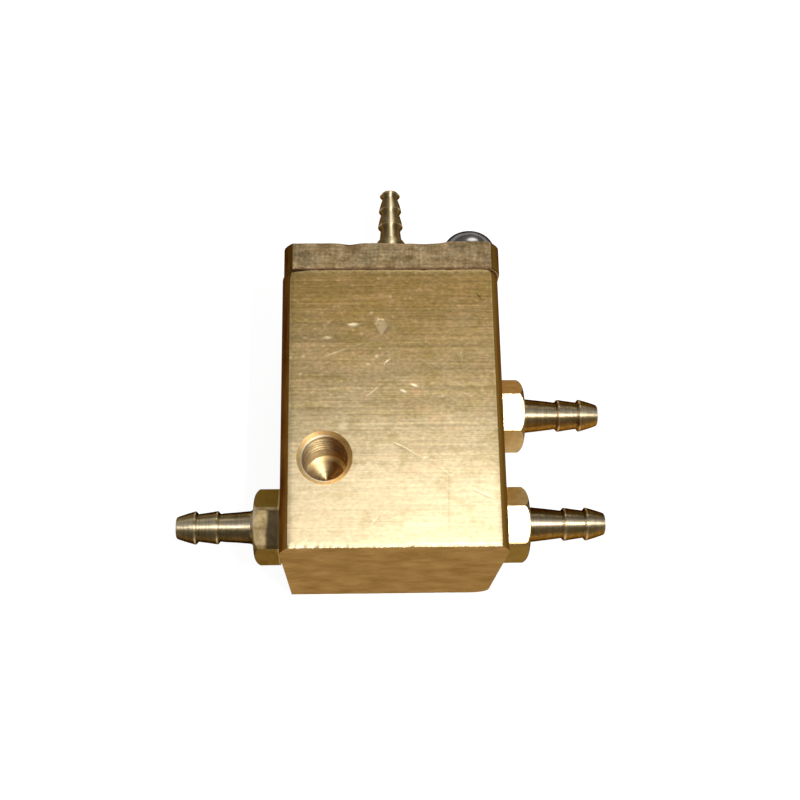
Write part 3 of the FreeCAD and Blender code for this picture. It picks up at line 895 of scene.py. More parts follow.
# %% [markdown]
# ## Wear on the edges
#
# A used brass block has soft, slightly wavy edges and a few deeper knocks. Each
# vertex near an edge is pushed in along its own normal, by an amount from seeded
# noise, and nicks are added where the photograph shows them. The saw left the
# bottom edge ragged, so its vertices get teeth from a coarser noise. Two top
# corners were knocked in: all that is near one moves inward together.

# %% Wear helper
WEAR_REACH = 0.45
WEAR_DEPTH = 0.05
RAGGED_REACH = 0.42
KNOCK_WAY = (0.5, -0.6, -0.6)
noise.seed_set(7)


def refine_edge(piece, y, z, reach, cuts):
    """Subdivide the faces along a front edge, so that small nicks have vertices to form them."""

    def near_the_edge(face):
        return math.hypot(face.center.y / MM - y, face.center.z / MM - z) < reach

    pick(piece, "FACE", near_the_edge)
    bpy.ops.mesh.subdivide(number_cuts=cuts)
    leave_edit()


def edge_lines(left, right, low, high, rear, front):
    """The bar's sharp edges, each as two points in millimetres."""
    edge_left, edge_right = left + FRONT_INSET, right - FRONT_INSET
    lines = [((edge_left, low, front), (edge_left, high, front))]
    lines += [((edge_right, low, front), (edge_right, high, front))]
    for y in (low, high):
        lines += [((edge_left, y, front), (edge_right, y, front))]
        lines += [((left, y, rear), (left, y, front - FRONT_RUN))]
        lines += [((right, y, rear + REAR_ROUND), (right, y, front - FRONT_RUN))]
        lines += [((left, y, rear), (right - REAR_ROUND, y, rear))]
    return [(Vector(a), Vector(b)) for a, b in lines]


def distance_to_line(point, start, end):
    along = end - start
    share = max(0.0, min(1.0, (point - start).dot(along) / along.length_squared))
    return (point - start - along * share).length


def bell(away, reach):
    """1 in the middle, and falling off smoothly over the reach."""
    return math.exp(-((away / reach) ** 2))


def wear_edges(piece, lines, nicks, ragged=(), corners=()):
    """Push the edges in by noise, and press in the nicks, given as (place, reach, depth).

    A ragged stretch is (start, end, depth of its teeth). A knocked corner is given as a nick is.
    """
    moved = []
    for vertex in piece.data.vertices:
        point = vertex.co / MM
        nearest = min(distance_to_line(point, a, b) for a, b in lines)
        push = 0.0
        if nearest < 3 * WEAR_REACH:
            wave = 0.5 + 0.5 * noise.fractal(point * 0.9, 1.0, 2.0, 3)
            push = WEAR_DEPTH * max(0.0, wave) * bell(nearest, WEAR_REACH)
        for place, reach, depth in nicks:
            away = (point - Vector(place)).length
            if away < 3 * reach:
                push += depth * bell(away, reach)
        shift = Vector()
        for place, reach, depth in corners:
            away = (point - Vector(place)).length
            if away < 3 * reach:
                inward = Vector(KNOCK_WAY)
                inward.x *= -1 if place[0] > 0 else 1
                shift += inward * depth * bell(away, reach)
        for start, end, depth in ragged:
            away = distance_to_line(point, Vector(start), Vector(end))
            if away < 0.8:
                tooth = noise.fractal(Vector((point.x * 1.5, 0.0, 3.0)), 0.8, 2.0, 2)
                push += depth * max(0.0, min(1.0, 0.4 + tooth)) * bell(away, RAGGED_REACH)
        if push or shift.length:
            moved.append((vertex, vertex.co - vertex.normal * push * MM + shift * MM))
    for vertex, place in moved:
        vertex.co = place
    print(piece.name, len(moved), "vertices worn")


# %% [markdown]
# ## Marks on the front face
#
# The photograph shows a diamond shaped dent, an oval one, a few short scratches
# and a pale spot. The mesh is subdivided only round each mark, so a scratch a
# tenth of a millimetre wide still has vertices to form it. The attribute "bare"
# says how bright the scraped metal shows in a mark, up to 1, and it is negative
# in a few marks that are dark.

# %% Marks helper
def diamond_share(point, corners):
    """1 inside the corners, which go anticlockwise, and 0 outside, with a crisp border."""
    inside = 1.0
    for (ax, ay), (bx, by) in zip(corners, corners[1:] + corners[:1]):
        side = (bx - ax) * (point.y - ay) - (by - ay) * (point.x - ax)
        inside = min(inside, side / math.hypot(bx - ax, by - ay) / 0.1)
    return max(0.0, inside)


def grow_marks(piece, marks, diamond, front):
    """Subdivide round each mark, then press it in.

    A mark is (x, y, length, width, angle, depth, bare).
    """
    places = [mark[:3] for mark in marks] + [DIAMOND_AREA]

    def near_a_mark(face):
        centre = face.center / MM
        return centre.z > front - 0.1 and any(
            math.hypot(centre.x - x, centre.y - y) < length / 2 + 0.7 for x, y, length in places
        )

    pick(piece, "FACE", near_a_mark)
    bpy.ops.mesh.subdivide(number_cuts=5)
    leave_edit()
    attribute = piece.data.attributes.new("bare", "FLOAT", "POINT")
    for vertex in piece.data.vertices:
        point = vertex.co / MM
        if point.z < front - 0.3:
            continue
        share = diamond_share(point, diamond)
        vertex.co.z -= DIAMOND_DEPTH * share * MM
        total = DIAMOND_BARE * share
        for x, y, length, width, angle, depth, bare in marks:
            turn = math.radians(angle)
            dx, dy = point.x - x, point.y - y
            along = (dx * math.cos(turn) + dy * math.sin(turn)) / (length / 2)
            across = (dy * math.cos(turn) - dx * math.sin(turn)) / (width / 2)
            share = math.exp(-((along**2 + across**2) ** 1.5))
            vertex.co.z -= depth * share * MM
            total += bare * share
        attribute.data[vertex.index].value = min(1.0, total)
    print(piece.name, len(marks), "marks,", len(piece.data.vertices), "vertices")


# %% [markdown]
# ## The block
#
# The block is the longer length of bar. Its bores are real: the stepped bore that
# holds the seat bush and the piston, two galleries, the side ports, the vent, the
# two screw holes and the seal groove. Each cutter is a turned piece, and carries
# the finish that its tool left, which the cut keeps.

# %% Block
PORT_RADIUS = 2.53
PORT_DEPTH = 6.0
GALLERY_RADIUS = 1.6
DRILL_HALF_ANGLE = math.radians(59)
SCREW_PLACES = ((11.2, 29.5), (-11.2, 5.0))
SCREW_CORE = 2.03
SPRING_BORE, SPRING_DEPTH = 4.5, 35.6
BUSH_BORE, BUSH_DEPTH = 6.03, 26.6
PISTON_BORE, PISTON_DEPTH = 9.7, 9
GROOVE_INSIDE, GROOVE_OUTSIDE, GROOVE_DEPTH = 10.8, 12.6, 1.35
VENT_RADIUS, VENT_DEPTH = 0.75, 7.8
FRONT_Z = block_high.z


def on_edge(y, z, *nicks):
    """Nicks of the edge at y and z, each given as (x, reach, depth)."""
    return [((x, y, z), reach, depth) for x, reach, depth in nicks]


BOTTOM_EDGE, TOP_EDGE = (block_low.y, FRONT_Z), (block_high.y, FRONT_Z)
EDGE_NICKS = on_edge(*BOTTOM_EDGE, (-10.2, 0.32, 0.11), (-7.4, 0.25, 0.09), (2.1, 0.30, 0.10))
EDGE_NICKS += on_edge(*TOP_EDGE, (-3.0, 0.35, 0.14), (4.4, 0.30, 0.12), (7.8, 0.40, 0.12))
EDGE_NICKS += on_edge(*TOP_EDGE, (-12.2, 0.8, 0.15))
KNOCKED_CORNERS = on_edge(*TOP_EDGE, (-13.6, 0.8, 0.4), (13.75, 0.45, 0.25))
RAGGED = [
    ((-13.6, *BOTTOM_EDGE), (-6.2, *BOTTOM_EDGE), 0.08),
    ((-6.2, *BOTTOM_EDGE), (13.6, *BOTTOM_EDGE), 0.10),
]
DIAMOND = ((-1.37, 9.40), (-0.37, 10.9), (-0.97, 11.96), (-1.85, 12.1), (-2.33, 11.14))
DIAMOND_AREA = (-1.35, 10.8, 2.8)
DIAMOND_DEPTH = 0.05
DIAMOND_BARE = 0.28
FACE_MARKS = [
    (-1.98, 11.95, 0.9, 0.7, 40, 0.01, 0.25),
    (-5.08, 11.13, 1.3, 0.50, 8, 0.05, 1.0),
    (-5.65, 11.20, 0.7, 0.25, 0, 0.03, 0.5),
    (-8.57, 9.27, 1.1, 0.40, 0, 0.03, 0.7),
    (-2.69, 12.82, 0.5, 0.42, 0, 0.03, 0.42),
    (-0.05, 15.19, 0.5, 0.42, 0, 0.03, 0.36),
    (-1.64, 17.86, 0.55, 0.45, 0, 0.03, 0.30),
    (-8.44, 11.44, 0.5, 0.36, 20, 0.02, 0.30),
    (-8.97, 10.86, 0.5, 0.30, 50, 0.02, 0.24),
    (-10.31, 10.58, 0.5, 0.30, 0, 0.02, 0.24),
    (-11.64, 9.29, 0.6, 0.32, 0, 0.02, 0.36),
    (-4.01, 9.82, 0.5, 0.40, 60, 0.02, 0.27),
    (-1.63, 7.66, 0.42, 0.38, 0, 0.03, 0.42),
    (-2.04, 6.52, 0.50, 0.45, 0, 0.03, 0.54),
    (-0.58, 5.94, 0.9, 0.26, 40, 0.03, 0.6),
    (-0.99, 5.38, 0.6, 0.22, 75, 0.03, 0.30),
    (-3.25, 5.39, 0.5, 0.36, 0, 0.02, 0.30),
    (-13.48, 6.45, 0.45, 0.40, 0, 0.02, 0.42),
    (-11.75, 6.58, 0.42, 0.38, 0, 0.02, 0.36),
    (-12.18, 4.18, 0.55, 0.40, 20, 0.02, 0.42),
    (-7.62, 7.13, 3.2, 0.18, 21, 0.02, 0.6),
    (-4.6, 8.2, 2.2, 0.14, 18, 0.02, 0.25),
    (1.44, 1.65, 0.95, 0.36, -20, 0.05, 1.0),
    (2.91, 2.42, 1.05, 0.36, -22, 0.05, 1.0),
    (-0.75, 5.82, 0.60, 0.20, 50, 0.03, 0.36),
    (9.22, 6.92, 0.90, 0.18, 62, 0.03, 0.4),
    (9.35, 6.2, 1.0, 0.16, 80, 0.02, 0.3),
    (-2.50, 1.74, 2.8, 0.16, 42, 0.02, 0.4),
    (6.57, 0.86, 0.50, 0.42, 0, 0.03, 0.30),
    (-6.59, -3.18, 1.30, 1.25, 0, 0.0, 0.42),
    (0.76, -5.78, 1.7, 0.17, -26, 0.03, 0.5),
    (2.17, -6.58, 1.8, 0.18, -34, 0.03, 0.6),
    (4.04, -7.51, 0.42, 0.36, 0, 0.02, 0.36),
    (6.80, -9.48, 1.9, 0.17, -41, 0.02, 0.5),
    (7.68, -9.75, 0.8, 0.16, 58, 0.02, 0.4),
    (11.4, -12.32, 2.9, 0.18, -26, 0.02, 0.5),
    (-2.54, -15.80, 1.4, 0.20, 50, 0.02, 0.35),
    (7.0, -13.4, 11.2, 0.22, 88.5, 0.0, -0.18),
    (11.88, 15.36, 1.3, 0.22, -60, 0.06, -0.8),
    (11.35, 14.6, 0.8, 0.18, -20, 0.03, -0.25),
]


def pointed_hole(radius, mouth, depth):
    """Outline of a drilled hole down from its mouth, with the point that a 118 degree drill leaves."""
    point = radius / math.tan(DRILL_HALF_ANGLE)
    return [(0, mouth), (radius, mouth), (radius, mouth - depth), (0, mouth - depth - point)]


def bore_tools():
    """The cutters of the block's bores, each already at its place."""
    top = block_high.y
    along_y = upright(0, 0, AXIS_Z)
    foot, step, rest = top - SPRING_DEPTH, top - BUSH_DEPTH, top - PISTON_DEPTH
    outline = [(0, foot), (SPRING_BORE, foot), (SPRING_BORE, step), (BUSH_BORE, step)]
    outline += [(BUSH_BORE, rest), (PISTON_BORE, rest), (10.0, top - 8.7), (10.0, top + 1)]
    outline += [(0, top + 1)]
    tools = [turned("stepped_bore", outline, SPIN_STEPS, bore_brass, along_y)]
    groove = [(GROOVE_INSIDE, top - GROOVE_DEPTH), (GROOVE_OUTSIDE, top - GROOVE_DEPTH)]
    groove += [(GROOVE_OUTSIDE, top + 1), (GROOVE_INSIDE, top + 1)]
    tools += [turned("seal_groove", groove + groove[:1], SPIN_STEPS, bore_brass, along_y)]
    port = [(0, 0), (GALLERY_RADIUS, 0), (GALLERY_RADIUS, block_high.x - PORT_DEPTH)]
    port += [(PORT_RADIUS, block_high.x - PORT_DEPTH), (PORT_RADIUS, block_high.x - 0.4)]
    port += [(PORT_RADIUS + 0.4, block_high.x), (PORT_RADIUS + 0.4, block_high.x + 1)]
    port += [(0, block_high.x + 1)]
    for side, y in ((1, LOWER_PORT_Y), (-1, LOWER_PORT_Y), (1, UPPER_PORT_Y)):
        tools += [turned("port", port, SPIN_STEPS, bore_brass, sideways(side, 0, y))]
    screw_hole = pointed_hole(SCREW_CORE, top + 1, 9.0)
    for x, z in SCREW_PLACES:
        tools += [turned("screw_hole", screw_hole, 48, bore_brass, upright(x, 0, z))]
    down = axes((1, 0, 0), (0, -1, 0), (0, 0, -1), (0, top - VENT_DEPTH, AXIS_Z))
    tools += [turned("vent", rod(VENT_RADIUS, 0, AXIS_Z + 1), 32, bore_brass, down)]
    return tools


BLOCK_SIDES = (block_low.x, block_high.x, block_low.y, block_high.y, block_low.z, FRONT_Z)
block = bar("worn_block", *BLOCK_SIDES, front_curve(FRONT_INSET, FRONT_RUN))
refine_edge(block, block_low.y, FRONT_Z, 0.6, 3)
wear_edges(block, edge_lines(*BLOCK_SIDES), EDGE_NICKS, RAGGED, KNOCKED_CORNERS)
grow_marks(block, FACE_MARKS, DIAMOND, FRONT_Z)
block.data.materials.append(bar_brass)
for tool in bore_tools():
    combine(block, tool, "DIFFERENCE")
tell(block)

# %% [markdown]
# ## The tapped mounting hole
#
# A countersunk hole was drilled 10 mm deep and tapped down to about 6 mm. The
# drilled shape is one turned cutter. The thread is a zigzag outline that the Screw
# modifier winds along the hole, a turn for each millimetre. Its crests stay inside
# the drilled hole, so the two cutters never share a surface.

# %% Mounting hole
HOLE_RADIUS = 3.0
HOLE_DEPTH = 10.0
SINK_RADIUS = 3.65
THREAD_PITCH = 1.0
THREAD_TURNS = 5
THREAD_ROOT = 3.28
HOLE_PLACE = Matrix.Translation(Vector((HOLE_X, HOLE_Y, FRONT_Z)) * MM)


def drilled_hole():
    """The drill's and the countersink's shape, with a fine tip that closes smoothly."""
    slope = HOLE_RADIUS / math.tan(DRILL_HALF_ANGLE)
    outline = [(0, 1), (SINK_RADIUS + 1, 1), (SINK_RADIUS, 0)]
    outline += [(HOLE_RADIUS, HOLE_RADIUS - SINK_RADIUS), (HOLE_RADIUS, -HOLE_DEPTH)]
    tip = (0.7, 0.4, 0.2, 0.1, 0.05, 0.02, 0.0)
    outline += [(HOLE_RADIUS * k, -HOLE_DEPTH - slope * (1 - k)) for k in tip]
    return turned("drilled_hole", outline, 96, hole_brass, HOLE_PLACE)


def thread_cutter():
    """Winding outline of one thread turn, closed by a fan at each end."""
    crest = HOLE_RADIUS - 0.1
    steps = [(crest, 0), (THREAD_ROOT - 0.04, 0.36), (THREAD_ROOT, 0.44), (THREAD_ROOT, 0.52)]
    steps += [(THREAD_ROOT - 0.04, 0.60), (crest, 0.96), (crest, THREAD_PITCH)]
    bottom = -0.8 - THREAD_PITCH * (THREAD_TURNS + 1)
    thread = draw_outline("thread", [(radius, 0, bottom + z) for radius, z in steps])
    leave_edit()
    modify(
        thread,
        "SCREW",
        axis="Z",
        angle=2 * math.pi,
        screw_offset=THREAD_PITCH * MM,
        iterations=THREAD_TURNS,
        steps=SPIN_STEPS,
        render_steps=SPIN_STEPS,
        use_merge_vertices=True,
        merge_threshold=0.001 * MM,
    )
    edit(thread)
    select_all()
    bpy.ops.mesh.remove_doubles(threshold=0.001 * MM)
    middle = bottom + THREAD_PITCH * (THREAD_TURNS + 1) / 2
    for upper in (True, False):
        bpy.ops.mesh.select_all(action="DESELECT")
        bpy.ops.mesh.select_non_manifold()
        leave_edit()
        open_rim = [v for v in thread.data.vertices if v.select]
        rim = {v.index for v in open_rim if (v.co.z / MM > middle) == upper}
        pick(thread, "VERT", lambda v: v.index in rim)
        shift = (0, 0, (0.5 if upper else -0.5) * MM)
        bpy.ops.mesh.extrude_region_move(TRANSFORM_OT_translate={"value": shift})
        bpy.ops.mesh.merge(type="CENTER")
    face_outwards()
    thread.data.materials.append(hole_brass)
    put(thread, HOLE_PLACE)
    return thread


combine(block, drilled_hole(), "DIFFERENCE")
combine(block, thread_cutter(), "DIFFERENCE")
tell(block)

# %% [markdown]
# The bar's own faces are sorted by their direction: the milled front, the sawn
# ends, and the drawn skin everywhere else. The cut faces already have theirs.

# %% Finishes of the block
def sort_faces(piece, front, low, high, front_finish, end_finish):
    """Give the front and the two ends their own finish, by each face's place and direction."""
    piece.data.materials.append(front_finish)
    piece.data.materials.append(end_finish)
    names = [material.name for material in piece.data.materials]
    skin, milled, sawn = (names.index(n) for n in (bar_brass.name, front_finish.name, end_finish.name))
    for face in piece.data.polygons:
        if face.material_index != skin:
            continue
        centre = face.center / MM
        if face.normal.z > 0.8 and centre.z > front - 0.4:
            face.material_index = milled
        elif abs(face.normal.y) > 0.6 and (centre.y < low + 0.4 or centre.y > high - 0.4):
            face.material_index = sawn


sort_faces(block, FRONT_Z, block_low.y, block_high.y, milled_brass, sawn_brass)
smooth(block)
finish_piece(block, "milled_brass", "valve_block")

# %% [markdown]
# ## The cap plate
#
# The cap is the short length of bar. Its front edge is wavy at the top: the saw
# wandered, so there is a dip left of the pilot fitting and a proud stretch in
# front of the cap screw.

# %% Cap plate
CAP_SIDES = (cap_low.x, cap_high.x, cap_low.y, cap_high.y, cap_low.z, cap_high.z)
CAP_CURVE = [(0, 2.3), (0.1, 1.75), (0.38, 1.15), (0.78, 0.55), (FRONT_INSET, 0)]
CAP_NICKS = on_edge(cap_high.y, cap_high.z, (-5.6, 0.9, 0.30), (4.6, 1.6, 0.16), (1.6, 0.8, 0.10))
CAP_NICKS += on_edge(cap_low.y, cap_high.z, (-13.0, 0.8, 0.22), (-9.0, 0.7, 0.16))
CAP_NICKS += on_edge(cap_low.y, cap_high.z, (1.0, 0.5, 0.10), (6.4, 0.4, 0.10))
CLEARANCE_RADIUS = 2.25
PROUD_START, PROUD_END, PROUD_RISE = 7.2, 13.9, 0.24
PROUD_RAMP, PROUD_DEPTH = 0.4, 3.0


def raise_edge(piece, top, front):
    """Lift the top front edge where the saw left it proud."""
    for vertex in piece.data.vertices:
        point = vertex.co / MM
        if point.y < top - 0.4:
            continue
        inside = min((point.x - PROUD_START) / PROUD_RAMP, (PROUD_END - point.x) / PROUD_RAMP, 1.0)
        depth = max(0.0, 1.0 - (front - point.z) / PROUD_DEPTH)
        if inside > 0 and depth > 0:
            vertex.co.y += PROUD_RISE * inside * min(1.0, 1.6 * depth) * MM


cap = bar("worn_cap", *CAP_SIDES, CAP_CURVE)
wear_edges(cap, edge_lines(*CAP_SIDES), CAP_NICKS)
raise_edge(cap, cap_high.y, cap_high.z)
cap.data.materials.append(bar_brass)
cap_holes = [("stud_hole", PORT_RADIUS, SPIN_STEPS, PILOT_X, AXIS_Z)]
cap_holes += [("clearance", CLEARANCE_RADIUS, 48, x, z) for x, z in SCREW_PLACES]
for name, radius, steps, x, z in cap_holes:
    place = upright(x, cap_low.y - 3, z)
    combine(cap, turned(name, rod(radius, 0, 10), steps, bore_brass, place), "DIFFERENCE")
sort_faces(cap, cap_high.z, cap_low.y, cap_high.y, cap_brass, sawn_brass)
smooth(cap)
finish_piece(cap, "cap_brass", "cap_plate")

# %% [markdown]
# ## Hose fittings
#
# A hose fitting is turned from hexagon bar. The hexagon keeps the bar's flats, and
# the lathe rounds its outer corners to a crown, so the true shape is a hexagon
# prism kept only where it lies inside a turned crown. The stem has two barbs with
# a steep back, which stop the hose from sliding off. The left one has a slimmer
# neck than the two on the right, which are copies of one shape. All are made along
# Z and then aimed at their ports, each screwed in to its own angle.

# %% Hose fitting helpers
HEX_ACROSS = 9.35
HEX_LOW, HEX_HIGH = 0.6, 4.3
SIDE_BORE = 1.15
CROWN_DROP = 0.85
CROWN_FACE = 0.86
CROWN_ROUND = 1.7
BARB = ((1.97, 0), (2.24, 0.22), (2.31, 0.29), (2.34, 0.37), (2.33, 0.46))


def crowned_hexagon(name, across, low, high, turned_finish, flat_finish):
    """Hexagon prism with softened corners, kept where it lies inside the turned crown."""
    corner = across / math.sqrt(3)
    bpy.ops.object.select_all(action="DESELECT")
    bpy.ops.mesh.primitive_cylinder_add(
        vertices=6,
        radius=corner * MM,
        depth=(high - low) * MM,
        location=(0, 0, (low + high) / 2 * MM),
        rotation=(0, 0, math.radians(30)),
    )
    prism = bpy.context.object
    prism.name = prism.data.name = name
    bpy.ops.object.transform_apply(location=True, rotation=True, scale=True)
    heights = [vertex.co.z for vertex in prism.data.vertices]
    pick(prism, "EDGE", lambda e: abs(heights[e.vertices[0]] - heights[e.vertices[1]]) > 0.5 * MM)
    bpy.ops.mesh.bevel(offset=0.1 * MM, segments=2, affect="EDGES")
    leave_edit()
    prism.data.materials.append(flat_finish)
    face = across / 2 * CROWN_FACE
    shoulder, rim = Vector((corner, high - CROWN_DROP)), Vector((face, high))
    half = (rim - shoulder).length / 2
    rise = CROWN_ROUND - math.sqrt(CROWN_ROUND**2 - half**2)
    across_chord = Vector((CROWN_DROP, corner - face)).normalized()
    centre = (shoulder + rim) / 2 + across_chord * (rise - CROWN_ROUND)
    start = math.degrees(math.atan2(shoulder.y - centre.y, shoulder.x - centre.x))
    end = math.degrees(math.atan2(rim.y - centre.y, rim.x - centre.x))
    outline = [(0, low - 1), (corner + 1, low - 1), (corner + 1, high - CROWN_DROP - 0.6)]
    outline += [(corner, high - CROWN_DROP)] + arc(centre, CROWN_ROUND, start, end, 10)[1:]
    outline += [(0, high)]
    combine(prism, turned("crown", outline, 120, turned_finish), "INTERSECT")
    return prism


def hose_fitting(name, flare_radius, flare_length, root_radius, brass, flat_finish):
    """Fitting along +Z with its sealing face on the block at zero."""
    outline = [(SIDE_BORE, -5.0), (2.2, -5.0), (2.5, -4.7), (2.5, HEX_LOW - 0.1), (3.0, HEX_LOW + 0.4)]
    outline += [(3.0, HEX_HIGH - 0.4), (flare_radius, HEX_HIGH - 0.02)]
    if flare_length:
        outline += [(flare_radius - 0.25, HEX_HIGH + 0.15), (root_radius + 0.08, HEX_HIGH + 0.42)]
    outline += [(root_radius, HEX_HIGH + max(flare_length, 0.1))]
    outline += [((root_radius + 1.95) / 2, 6.9), (2.04, 8.4), (1.95, 9.05)]
    for foot, slope in ((9.10, [(2.12, 10.9), (1.95, 12.15)]), (12.20, [(2.0, 13.8), (1.62, 14.95)])):
        outline += [(radius, foot + height) for radius, height in BARB] + slope
    outline += [(1.52, 15.15), (1.38, 15.25), (1.25, 15.25), (SIDE_BORE, 15.15), (SIDE_BORE, -5.0)]
    stem = turned(name, outline, 80, brass)
    body = crowned_hexagon("hexagon", HEX_ACROSS, HEX_LOW, HEX_HIGH, brass, flat_finish)
    combine(body, turned("inner", rod(2.7, -1, 20), 80, brass), "DIFFERENCE")
    combine(stem, body, "UNION")
    return stem


def aim_sideways(piece, side, y, turn):
    """Aim a piece drawn along +Z out of a side of the block, turned about its own axis."""
    turn = Matrix.Rotation(math.radians(turn), 4, "Z")
    put(piece, sideways(side, side * block_high.x, y) @ turn)


right_fitting = hose_fitting("outlet_hose_fitting", 2.5, 0.0, 2.5, outlet_brass, outlet_flats)
left_fitting = hose_fitting("inlet_hose_fitting", 2.85, 0.6, 2.3, inlet_brass, inlet_flats)
lower_fitting = copy_of(right_fitting, "through_hose_fitting")
own_finish = {outlet_brass.name: through_brass, outlet_flats.name: through_flats}
for index, material in enumerate(lower_fitting.data.materials):
    if material.name in own_finish:
        lower_fitting.data.materials[index] = own_finish[material.name]
for fitting, side, y, turn, node in (
    (right_fitting, 1, UPPER_PORT_Y, 10, "outlet_fitting"),
    (lower_fitting, 1, LOWER_PORT_Y, 13, "through_fitting"),
    (left_fitting, -1, LOWER_PORT_Y, -17, "inlet_fitting"),
):
    aim_sideways(fitting, side, y, turn)
    smooth(fitting, 28)
    finish_piece(fitting, "turned_brass", node)

# %% [markdown]
# ## Pilot fitting
#
# The pilot fitting is the same kind of part at a smaller size, with three barbs
# that get smaller towards the tip and a plain round collar above its hexagon.

# %% Pilot fitting
PILOT_BORE = 0.75
outline = [(PILOT_BORE, -3.6), (2.25, -3.6), (2.5, -3.35), (2.5, 0.8), (2.7, 1.3), (2.7, 4.3)]
outline += [(2.5, 4.48), (2.5, 7.4), (2.42, 7.62), (2.0, 8.25), (1.72, 8.6), (1.65, 8.72), (1.5, 10.25)]
outline += [(1.53, 10.31), (1.9, 10.78), (1.9, 10.85), (1.68, 11.9), (1.4, 12.95)]
outline += [(1.43, 13.01), (1.725, 13.48), (1.725, 13.55), (1.47, 14.6), (1.15, 15.6)]
outline += [(1.18, 15.66), (1.55, 16.13), (1.55, 16.18), (1.28, 16.5), (1.15, 16.63)]
outline += [(1.1, 16.65), (0.83, 16.65), (PILOT_BORE, 16.57), (PILOT_BORE, -3.6)]
pilot = turned("pilot_hose_fitting", outline, 64, pilot_brass)
pilot_hex = crowned_hexagon("pilot_hexagon", 8.0, 0.9, 4.5, pilot_brass, pilot_flats)
combine(pilot_hex, turned("inner", rod(2.6, -1, 20), 64, pilot_brass), "DIFFERENCE")
combine(pilot, pilot_hex, "UNION")
aim_up = upright(PILOT_X, cap_high.y, AXIS_Z)
put(pilot, aim_up @ Matrix.Rotation(math.radians(20), 4, "Z"))
smooth(pilot, 28)
finish_piece(pilot, "turned_brass", "pilot_fitting")

# %% [markdown]
# ## Washers
#
# Pressed fibre washers seal the four fittings. A stamped disc has rounded edges,
# and the fitting squeezes its rim a little barrel shaped.

# %% Sealing washers
def sealing_washer(name, inner, outer, thick):
    """Flat ring from zero up, with rounded edges."""
    outline = [(inner, 0.08), (inner + 0.08, 0), (outer - 0.12, 0), (outer - 0.03, 0.1)]
    outline += [(outer, thick / 2), (outer - 0.03, thick - 0.1), (outer - 0.12, thick)]
    outline += [(inner + 0.08, thick), (inner, thick - 0.08), (inner, 0.08)]
    return turned(name, outline, 80, pressed_fibre)


side_washer = sealing_washer("outlet_seal", 2.65, 5.1, 0.6)
washers = [
    (side_washer, 1, UPPER_PORT_Y, "outlet_washer"),
    (copy_of(side_washer, "through_seal"), 1, LOWER_PORT_Y, "through_washer"),
    (copy_of(side_washer, "inlet_seal"), -1, LOWER_PORT_Y, "inlet_washer"),
]
for washer, side, y, node in washers:
    aim_sideways(washer, side, y, 0)
    smooth(washer)
    finish_piece(washer, "pressed_fibre", node)
pilot_seal = sealing_washer("pilot_seal", 2.65, 3.8, 0.9)
put(pilot_seal, aim_up)
smooth(pilot_seal)
finish_piece(pilot_seal, "pressed_fibre", "pilot_washer")

# %% [markdown]
# ## Cap screws and spring washers
#
# The cap is held by two round head screws. The head is a turned dome that comes
# down round its spring washer, because such a head is hollow underneath. The cross
# recess is a cross outline that is extruded down and scaled in, so its wings taper
# as the driver's tip does. Each spring washer is a ring with a slanted slit.

# %% Cap screws
SCREW_SEAT = 1.1
HEAD_TOP = 3.65
HEAD_RADIUS = 3.8
HEAD_LOW = 0.12
WING_WIDTH, WING_SPAN = 0.95, 4.4
RECESS_DEPTH = 2.4
RECESS_TAPER = 0.42
WASHER_THICKNESS = 1.1
SLIT_LEAN = 25


def cross_tool():
    """Cross shaped cutter, wide at the top of the head and narrow at its bottom."""
    wing, span = WING_WIDTH / 2, WING_SPAN / 2
    half = [(wing, -span), (wing, -wing), (span, -wing), (span, wing), (wing, wing), (wing, span)]
    points = half + [(-x, -y) for x, y in half]
    tool = draw_outline("recess", [(x, y, HEAD_TOP + 0.3) for x, y in points])
    draw_out((0, 0, -RECESS_DEPTH))
    bpy.ops.transform.resize(value=(RECESS_TAPER, RECESS_TAPER, 1))
    face_outwards()
    tool.data.materials.append(nickel_plate)
    return tool


def round_head_screw(name):
    """Plain shank and domed head along +Z, with the cap's top face at zero."""
    outline = [(0, SCREW_SEAT - 11), (1.6, SCREW_SEAT - 11), (2.0, SCREW_SEAT - 10.6)]
    outline += [(2.0, SCREW_SEAT), (3.3, SCREW_SEAT), (3.3, HEAD_LOW), (HEAD_RADIUS - 0.08, HEAD_LOW)]
    for angle in [math.radians(3 + 87 * i / 28) for i in range(28)]:
        across, up = math.cos(angle) ** 0.9, math.sin(angle) ** 0.9
        outline.append((HEAD_RADIUS * across, HEAD_LOW + (HEAD_TOP - HEAD_LOW) * up))
    outline.append((0, HEAD_TOP))
    screw = turned(name, outline, 96, nickel_plate)
    combine(screw, cross_tool(), "DIFFERENCE")
    return screw


def lock_washer(name):
    """Spring washer that is pressed flat, with its slanted slit."""
    inner, outer, thick = 2.03, 3.13, WASHER_THICKNESS
    outline = [(inner, 0.1), (inner + 0.1, 0), (outer - 0.12, 0), (outer, 0.12)]
    outline += [(outer, thick - 0.12), (outer - 0.12, thick), (inner + 0.1, thick)]
    outline += [(inner, thick - 0.1)]
    washer = turned(name, outline + outline[:1], 80, spring_steel)
    slit = draw_outline("slit", [(0, -0.35, -0.6), (0, 0.35, -0.6), (0, 0.35, 1.7), (0, -0.35, 1.7)])
    draw_out((4, 0, 0))
    face_outwards()
    put(slit, Matrix.Rotation(math.radians(SLIT_LEAN), 4, "X"))
    combine(washer, slit, "DIFFERENCE")
    return washer


